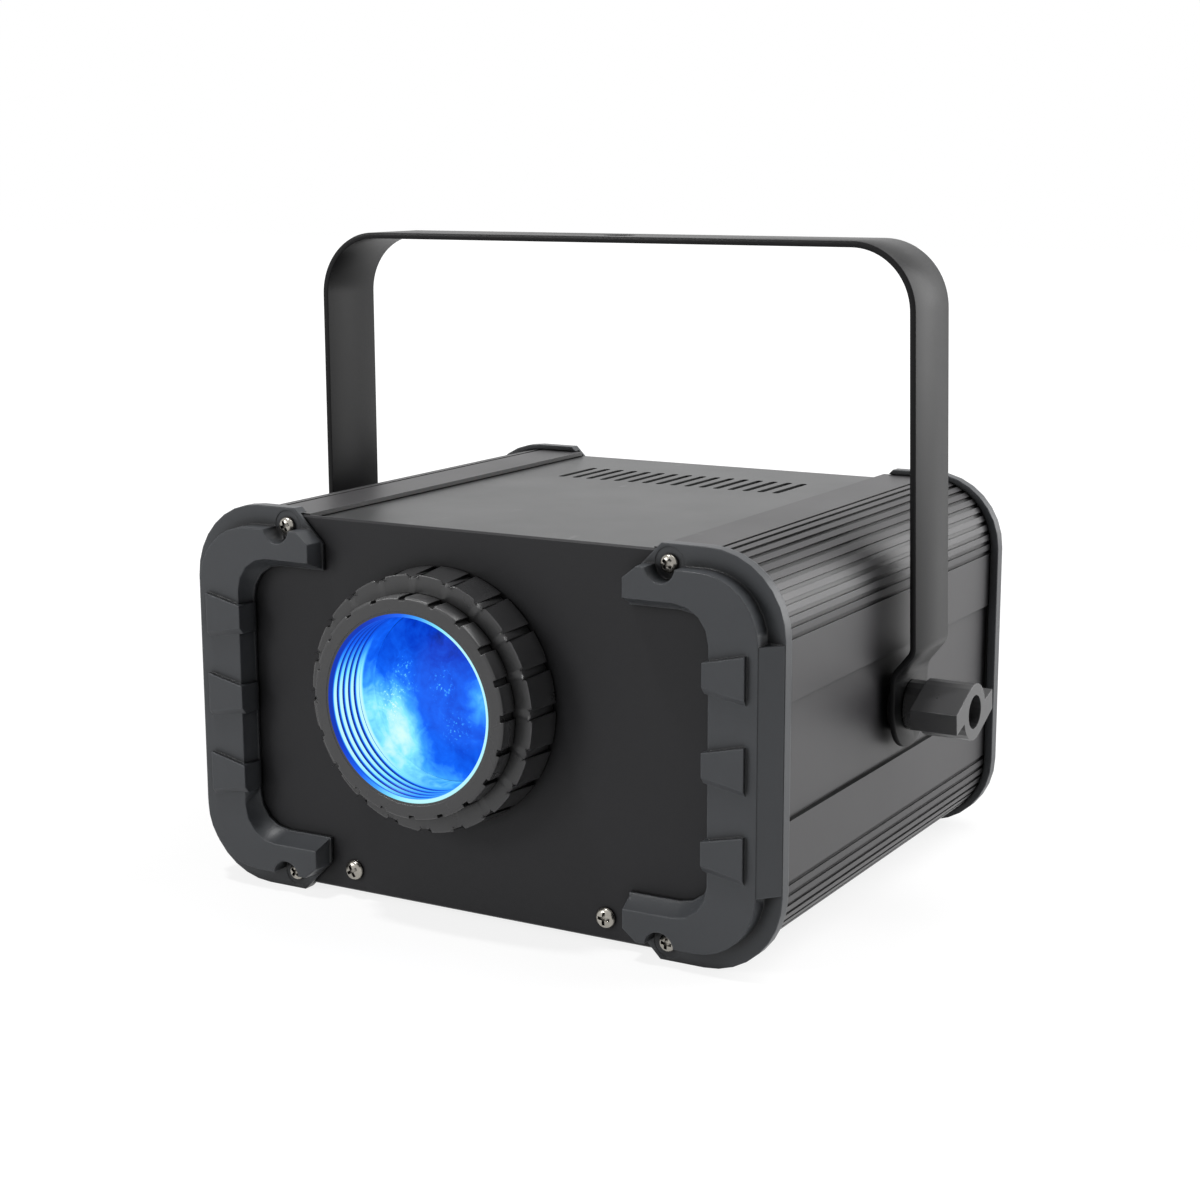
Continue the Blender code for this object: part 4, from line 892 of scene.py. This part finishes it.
# ---- yoke: a steel strap bent in two corners and two joggles;
# lean is how far the foot of each arm stands out, and how far its top stands in
yokeShape = {
    "pivot": (0.0128, 0.0775),
    "half": 0.1376,
    "top": 0.2575,
    "width": 0.034,
    "thickness": 0.0025,
    "corner": 0.0267,
    "joggle": 0.0065,
    "joggleUp": 0.0136,
    "joggleRun": 0.0102,
    "lean": {"left": (0, 0), "right": (0.0016, 0.0018)},
    "bendSteps": 20,
    "joggleBend": 0.0022,
    "joggleSteps": 5,
    "endShare": 0.999,
    "endSteps": 16,
    "studHole": 0.0043,
    "hangHole": 0.0065,
    "drillSteps": 48,
    "drillDepth": 0.03,
    "rounding": 0.0004,
    "smooth": radians(42),
}


# the strap's outer face is drawn as a ribbon, from the end of the left arm to the end of the right one
def makeYoke(shape):
    pivotY, pivotZ = shape["pivot"]
    half, top, corner, width = shape["half"], shape["top"], shape["corner"], shape["width"]
    foot = pivotZ + shape["joggleUp"]
    arms = {}
    for side, (footOut, topIn) in shape["lean"].items():
        way = -1 if side == "left" else 1
        bends = ((half - shape["joggle"], pivotZ), (half - shape["joggle"], foot))
        bends += ((half + footOut, foot + shape["joggleRun"]), (half - topIn, top - corner))
        arms[side] = [Vector((way * x, pivotY, z)) for x, z in bends]
    deselect()
    bpy.ops.mesh.primitive_plane_add(size=width, location=arms["left"][0], rotation=(0, pi / 2, 0))
    yoke = bpy.context.object
    yoke.name = "yoke_strap"
    bpy.ops.object.transform_apply(location=True, rotation=True, scale=True)
    bpy.ops.object.mode_set(mode="EDIT")
    choose(yoke, "EDGE", lambda edge: all(vert.co.z > pivotZ for vert in edge.verts))
    bpy.ops.transform.translate(value=(0, 0, foot - pivotZ - width / 2))

    def walk(points):
        for here, after in zip(points, points[1:]):
            bpy.ops.mesh.extrude_region_move(TRANSFORM_OT_translate={"value": after - here})

    def bendCorner(side):
        way = -1 if side == "left" else 1
        middle = (way * (half - shape["lean"][side][1] - corner), pivotY, top - corner)
        bpy.ops.mesh.spin(steps=shape["bendSteps"], angle=-pi / 2, center=middle, axis=(0, 1, 0))
        return Vector(middle)

    walk(arms["left"][1:])
    start = bendCorner("left")
    end = Vector((half - shape["lean"]["right"][1] - corner, pivotY, start.z))
    walk((start, end))
    bendCorner("right")
    walk(list(reversed(arms["right"]))[:-1])
    walk((Vector((0, 0, foot)), Vector((0, 0, pivotZ - width / 2))))

    # round ends about the studs, and a radius in each bend of the joggles
    choose(yoke, "VERT", lambda vert: vert.co.z < pivotZ)
    bpy.ops.mesh.bevel(offset=width / 2 * shape["endShare"], segments=shape["endSteps"], affect="VERTICES")

    def atLevel(edge, level):
        return all(abs(vert.co.z - level) < near for vert in edge.verts)

    choose(yoke, "EDGE", lambda edge: atLevel(edge, foot) or atLevel(edge, foot + shape["joggleRun"]))
    bpy.ops.mesh.bevel(offset=shape["joggleBend"], segments=shape["joggleSteps"])
    closeUp()

    wall = yoke.modifiers.new("wall", "SOLIDIFY")
    wall.thickness = shape["thickness"]
    wall.offset = -1
    wall.use_even_offset = True
    bpy.ops.object.modifier_apply(modifier=wall.name)
    holes = (
        (shape["hangHole"], (0, pivotY, top), (0, 0, 0)),
        (shape["studHole"], (-half, pivotY, pivotZ), (0, pi / 2, 0)),
        (shape["studHole"], (half, pivotY, pivotZ), (0, pi / 2, 0)),
    )
    for radius, place, turn in holes:
        deselect()
        bpy.ops.mesh.primitive_cylinder_add(
            vertices=shape["drillSteps"],
            radius=radius,
            depth=shape["drillDepth"],
            location=place,
            rotation=turn,
        )
        cutOut(yoke, bpy.context.object)
    yoke.select_set(True)
    applyBevel(yoke, shape["rounding"], shape["smooth"])
    dress(yoke, "yoke", "painted_steel", finishes["painted_steel"])
    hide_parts("yoke")


makeYoke(yokeShape)
print("yoke made")


# ---- studio: a pale floor, a white surround and soft lamps; the key stands behind on the right
studio = {
    "floor": 0.8,
    "floorSize": 12,
    "floorHeight": -0.0002,
    "surround": 0.26,
    "whiteShare": 0.72,
    "whiteFrom": (0.25, 0.7),
    "whiteLevel": 1.15,
    "aim": (0, 0, 0.12),
    "lamps": (
        {"name": "key", "place": (0.95, 0.85, 0.5), "size": 1.2, "power": 14.0},
        {"name": "top", "place": (0.35, 0.3, 1.0), "size": 0.7, "power": 5.0},
        {"name": "glint", "place": (-0.25, -0.3, 1.1), "size": 0.12, "power": 5.0},
        {"name": "front", "place": (-1.1, -1.5, 0.8), "size": 0.6, "power": 11.5},
    ),
}


# to the camera and in reflections mostly white, and wholly white further out; plain paper to the rest
def makeFloor(settings):
    deselect()
    bpy.ops.mesh.primitive_plane_add(size=settings["floorSize"], location=(0, 0, settings["floorHeight"]))
    floor = bpy.context.object
    floor.name = "floor"
    material = bpy.data.materials.new("floor")
    material.use_nodes = True
    tree = material.node_tree
    tree.nodes.clear()
    wire = Wire(tree)
    grey = settings["floor"]
    paper = wire.node("BsdfDiffuse", {"Color": (grey, grey, grey, 1)})
    white = wire.node("Emission", {"Color": (1, 1, 1, 1), "Strength": settings["whiteLevel"]})
    seen = wire.node("LightPath", out="Is Camera Ray") + wire.node("LightPath", out="Is Glossy Ray")
    far = wire.node("VectorMath", {0: wire.node("TexCoord", out="Object")}, out="Value", operation="LENGTH")
    share = far.rise(*settings["whiteFrom"]) * (1 - settings["whiteShare"]) + settings["whiteShare"]
    both = wire.node("MixShader", {0: seen * share, 1: paper, 2: white})
    end = tree.nodes.new("ShaderNodeOutputMaterial")
    tree.links.new(both.socket, end.inputs["Surface"])
    floor.data.materials.append(material)


# full white where it is seen, and weaker as a light
def makeWorld(settings):
    world = bpy.data.worlds.new("surround")
    bpy.context.scene.world = world
    world.use_nodes = True
    tree = world.node_tree
    wire = Wire(tree)
    background = tree.nodes["Background"]
    background.inputs["Color"].default_value = (1, 1, 1, 1)
    rays = [wire.node("LightPath", out=f"Is {kind} Ray") for kind in ("Camera", "Transmission", "Glossy")]
    shown = wire.maths("MINIMUM", sum(rays[1:], rays[0]), 1.0)
    strength = shown * (1 - settings["surround"]) + settings["surround"]
    tree.links.new(strength.socket, background.inputs["Strength"])


def makeStudio(settings):
    makeFloor(settings)
    makeWorld(settings)
    for lamp in settings["lamps"]:
        light = bpy.data.lights.new(lamp["name"], "AREA")
        light.shape = "DISK"
        light.size = lamp["size"]
        light.energy = lamp["power"]
        thing = bpy.data.objects.new(lamp["name"], light)
        place = Vector(lamp["place"])
        thing.location = place
        thing.rotation_euler = (place - Vector(settings["aim"])).to_track_quat("Z", "Y").to_euler()
        bpy.context.scene.collection.objects.link(thing)


makeStudio(studio)
bpy.context.scene.view_settings.view_transform = "Standard"
print("studio set")
